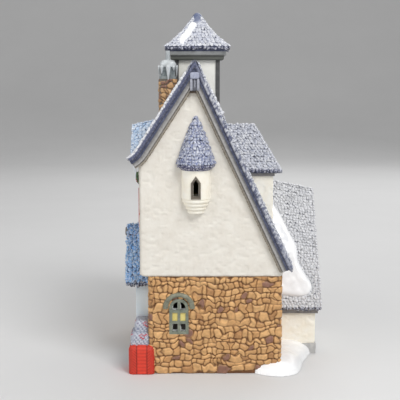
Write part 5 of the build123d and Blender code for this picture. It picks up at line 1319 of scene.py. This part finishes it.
def cable_knit(u, length, v):
    """Ribs across the middle of a face, slanting stitches at its sides."""
    street_seam, rear_seam = 4.6, length - 4.3
    side = (u < street_seam) | (u > rear_seam)
    ribs = np.abs(np.sin(np.pi * v / 2.1))
    stitches = np.abs(np.sin(np.pi * (v + np.where(u < length / 2, u, -u)) / 1.7))
    seam = smooth(0.0, 0.5, np.minimum(np.abs(u - street_seam), np.abs(u - rear_seam)))
    lift = np.where(side, 0.1 + 0.55 * stitches, 0.4 + 0.17 * ribs) * (0.2 + 0.8 * seam)
    # Colour runs from painted shade in the grooves to a painted highlight on the raised stitches.
    return lift - 0.35, blend(tone(96, 6, 8), tone(240, 70, 48), np.clip(lift / 0.6, 0, 1)[:, None])


def flecked_knit(top):
    """Pale rows flecked with grey, with red wavy stripes under the top."""
    def pattern(u, length, v):
        row = np.floor(v / 1.15)
        lift = 0.3 * np.abs(np.sin(np.pi * v / 1.15)) ** 0.6
        dash = smooth(0.1, 0.5, np.sin(2 * np.pi * (u / 2.3 + 0.37 * row)) + 0.5 * noise2(u / 1.5, row, 90))
        colour = blend(tone(208, 212, 222), tone(118, 128, 158), 0.75 * dash[:, None])
        for drop, phase in ((1.2, 0.0), (3.0, 1.3)):
            wave = top - drop + 0.5 * np.sin(2.1 * u + phase)
            broken = smooth(-0.5, 0.1, noise2(u / 1.9 + phase, np.full(len(u), drop), 91))
            stripe = (1 - smooth(0.3, 0.6, np.abs(v - wave))) * broken
            colour = blend(colour, tone(206, 54, 62), stripe[:, None])
        # Raised rows painted lighter and hollows darker: painted highlight and painted shade.
        return lift - 0.2, colour * (0.8 + 0.6 * lift[:, None])
    return pattern


red = knit_block(((-50.7, -35.8), (-60.4, -41.2), (0.0, 16.8)), 2.6, cable_knit)
make("red_wool_knit", red, WOOL, ("red_wool_bundle",), closed=True)
bits = [knit_block(((-49.9, -38.5), (-57.4, -41.2), (16.2, 24.0)), 2.2, flecked_knit(24.2)),
        knit_block(((-47.7, -38.5), (-54.4, -41.2), (23.4, 30.6)), 2.2, flecked_knit(30.8))]
make("grey_wool_knit", joined(bits), WOOL, ("grey_wool_stack",), closed=True)


# Window trim and garland

LIGHT_EDGE, LIGHT_REACH, LIGHT_SPRING = 0.8, 3.9, 39.5
LOW_LIGHT, HIGH_LIGHT_FOOT = (25.6, 30.2), 38.4
HOOD_REACH, HOOD_SPRING = 7.4, 40.2


def reveal(outline):
    """White splayed lining of a light, wider at its left and its foot, as the glaze lies."""
    outline = np.asarray(outline, float)
    middle = (outline.min(0) + outline.max(0)) / 2
    inner = middle + (outline - middle) * 0.8 + 0.07 * np.ptp(outline, axis=0)
    points = []
    for (x, z), (a, b) in zip(outline, inner):
        points += [(x, Y_NEAR + 0.3, z), (a, Y_NEAR + 1.4, b), (x, Y_NEAR + 1.6, z)]
    return np.array(points), grid_faces(len(outline), 3, around=True), tone(236, 238, 236)


bits = []
for side in (-1, 1):
    near, far = WINDOW_X + side * LIGHT_EDGE, WINDOW_X + side * LIGHT_REACH
    foot, head = LOW_LIGHT
    arc = [(WINDOW_X + side * LIGHT_REACH * math.cos(a), LIGHT_SPRING + LIGHT_REACH * math.sin(a))
           for a in np.linspace(0, 1.36, 9)]
    bits += [reveal([(near, foot), (far, foot), (far, head), (near, head)]),
             reveal([(near, HIGH_LIGHT_FOOT), (far, HIGH_LIGHT_FOOT), *arc])]
make("side_window_reveals", joined(bits), GLAZE, closed=True)

rings = []
for bend in np.linspace(-0.09, np.pi + 0.09, 41):
    spread = math.cos(bend) ** 2
    reach, wide = HOOD_REACH + 0.35 * spread, 1.35 + 0.3 * spread
    section = [(wide * math.cos(a), 0.3 + 1.9 * max(math.sin(a), 0) ** 0.7) for a in np.linspace(0, np.pi, 9)]
    section += [(-wide, -0.4), (wide, -0.4)]
    rings.append([(WINDOW_X + (reach + across) * math.cos(bend), Y_NEAR - out,
                   HOOD_SPRING + (reach + across) * math.sin(bend)) for across, out in section])
make("side_window_hood_mould", lofted(rings), HOOD_TRIM, ("side_window_hood",), sharp=50,
     closed=True)

# Garland paints: painted shade for the lumps' undersides and body paint; the third paint lightens the tops,
# on the berries as a painted highlight.
GREENS = tones((40, 68, 38), (80, 118, 66), (170, 192, 158))
BERRIES = tones((110, 14, 14), (196, 34, 30), (240, 150, 140))
GARLAND_X, GARLAND_REACH, GARLAND_LOW, GARLAND_SAG = -45.3, 14.0, 111.0, 6.0
share = np.linspace(-1, 1, 40)
garland = np.stack([np.full(40, GARLAND_X), BAY_Y + GARLAND_REACH * share,
                    GARLAND_LOW + GARLAND_SAG * share ** 2], 1)
bits = [lumps(garland, STREETWARDS, 0.75, (1.2, 1.3, 1.3), GREENS, 92, 0.3, 0.35),
        lumps(garland + (-1.2, 0, 0), STREETWARDS, 4.2, (0.75, 0.75, 0.75), BERRIES, 93, 0.2, 0.05)]
pick = np.random.default_rng(94)
points, faces = [], []
for root, way in zip(*resampled(garland, 0.16)):
    out = np.cross(way, pick.normal(0, 1, 3))
    out = out / np.linalg.norm(out) + 0.5 * way * pick.choice((-1, 1))
    cross = np.cross(out, way)
    cross /= np.linalg.norm(cross)
    foot = root + 0.8 * out
    faces += [[len(points) + k for k in face] for face in ((0, 1, 3), (1, 2, 3), (2, 0, 3), (2, 1, 0))]
    points += [foot + 0.2 * cross, foot - 0.1 * cross + 0.17 * way, foot - 0.1 * cross - 0.17 * way,
               root + out * pick.uniform(1.5, 2.1)]
points = np.array(points)
points[:, 0] = np.minimum(points[:, 0], UPPER_FRONT + 0.2)
bits.append((points, faces, GREENS[1] * pick.uniform(0.6, 1.4, (len(points) // 4, 1)).repeat(4, 0)))
make("bay_garland_needles", joined(bits), LEAF, ("bay_garland",), closed=True)


# Camera, floor and light, in metres

def placed(name, data, location):
    """New object in the scene."""
    item = bpy.data.objects.new(name, data)
    item.location = location
    bpy.context.scene.collection.objects.link(item)
    return item


def stage():
    """Pale floor, soft light and the photograph's viewpoint."""
    scene = bpy.context.scene
    sensor, focal_pixels, photo_pixels = 36.0, 877.0, 400.0
    viewpoint, tilt = (-0.00885, -0.558, 0.17372), math.radians(82.0)
    camera_data = bpy.data.cameras.new("camera")
    camera_data.sensor_width = sensor
    camera_data.lens = sensor * focal_pixels / photo_pixels
    camera_data.clip_start = 0.01
    scene.camera = placed("camera", camera_data, viewpoint)
    scene.camera.rotation_euler = (tilt, 0, 0)

    floor_mesh = bpy.data.meshes.new("floor")
    bend = 1.2
    curve = [(bend + bend * math.sin(a), bend - bend * math.cos(a)) for a in np.radians(np.arange(5, 91, 5))]
    profile = [(-3.0, 0.0), (bend, 0.0), *curve, (2 * bend, 3.0)]
    corners = [(x, y, z) for y, z in profile for x in (-4.0, 4.0)]
    strips = [(2 * k, 2 * k + 1, 2 * k + 3, 2 * k + 2) for k in range(len(profile) - 1)]
    floor_mesh.from_pydata(corners, [], strips)
    for strip in floor_mesh.polygons:
        strip.use_smooth = True
    floor_mesh.materials.append(ceramic("floor_pale", [(214, 214, 214), (220, 220, 220)], 3, 0.8, 0.05, 0.01))
    floor = placed("floor", floor_mesh, (0, 0, -0.0002))

    for name, spot, size, watts in (("key", (0.45, -0.75, 0.95), 0.5, 9.0),
                                    ("fill", (-0.8, -0.6, 0.5), 0.8, 2.6),
                                    ("back", (0.3, 0.9, 0.8), 0.8, 4.5)):
        lamp_data = bpy.data.lights.new(name, "AREA")
        lamp_data.size = size
        lamp_data.energy = watts
        lamp = placed(name, lamp_data, spot)
        lamp.rotation_euler = (Vector((0, 0, 0.1)) - Vector(spot)).to_track_quat("-Z", "Y").to_euler()

    scene.world = bpy.data.worlds.new("studio")
    scene.world.use_nodes = True
    sky = scene.world.node_tree.nodes["Background"]
    sky.inputs["Color"].default_value = (1, 1, 1, 1)
    sky.inputs["Strength"].default_value = 0.42
    scene.view_settings.view_transform = "Standard"


stage()
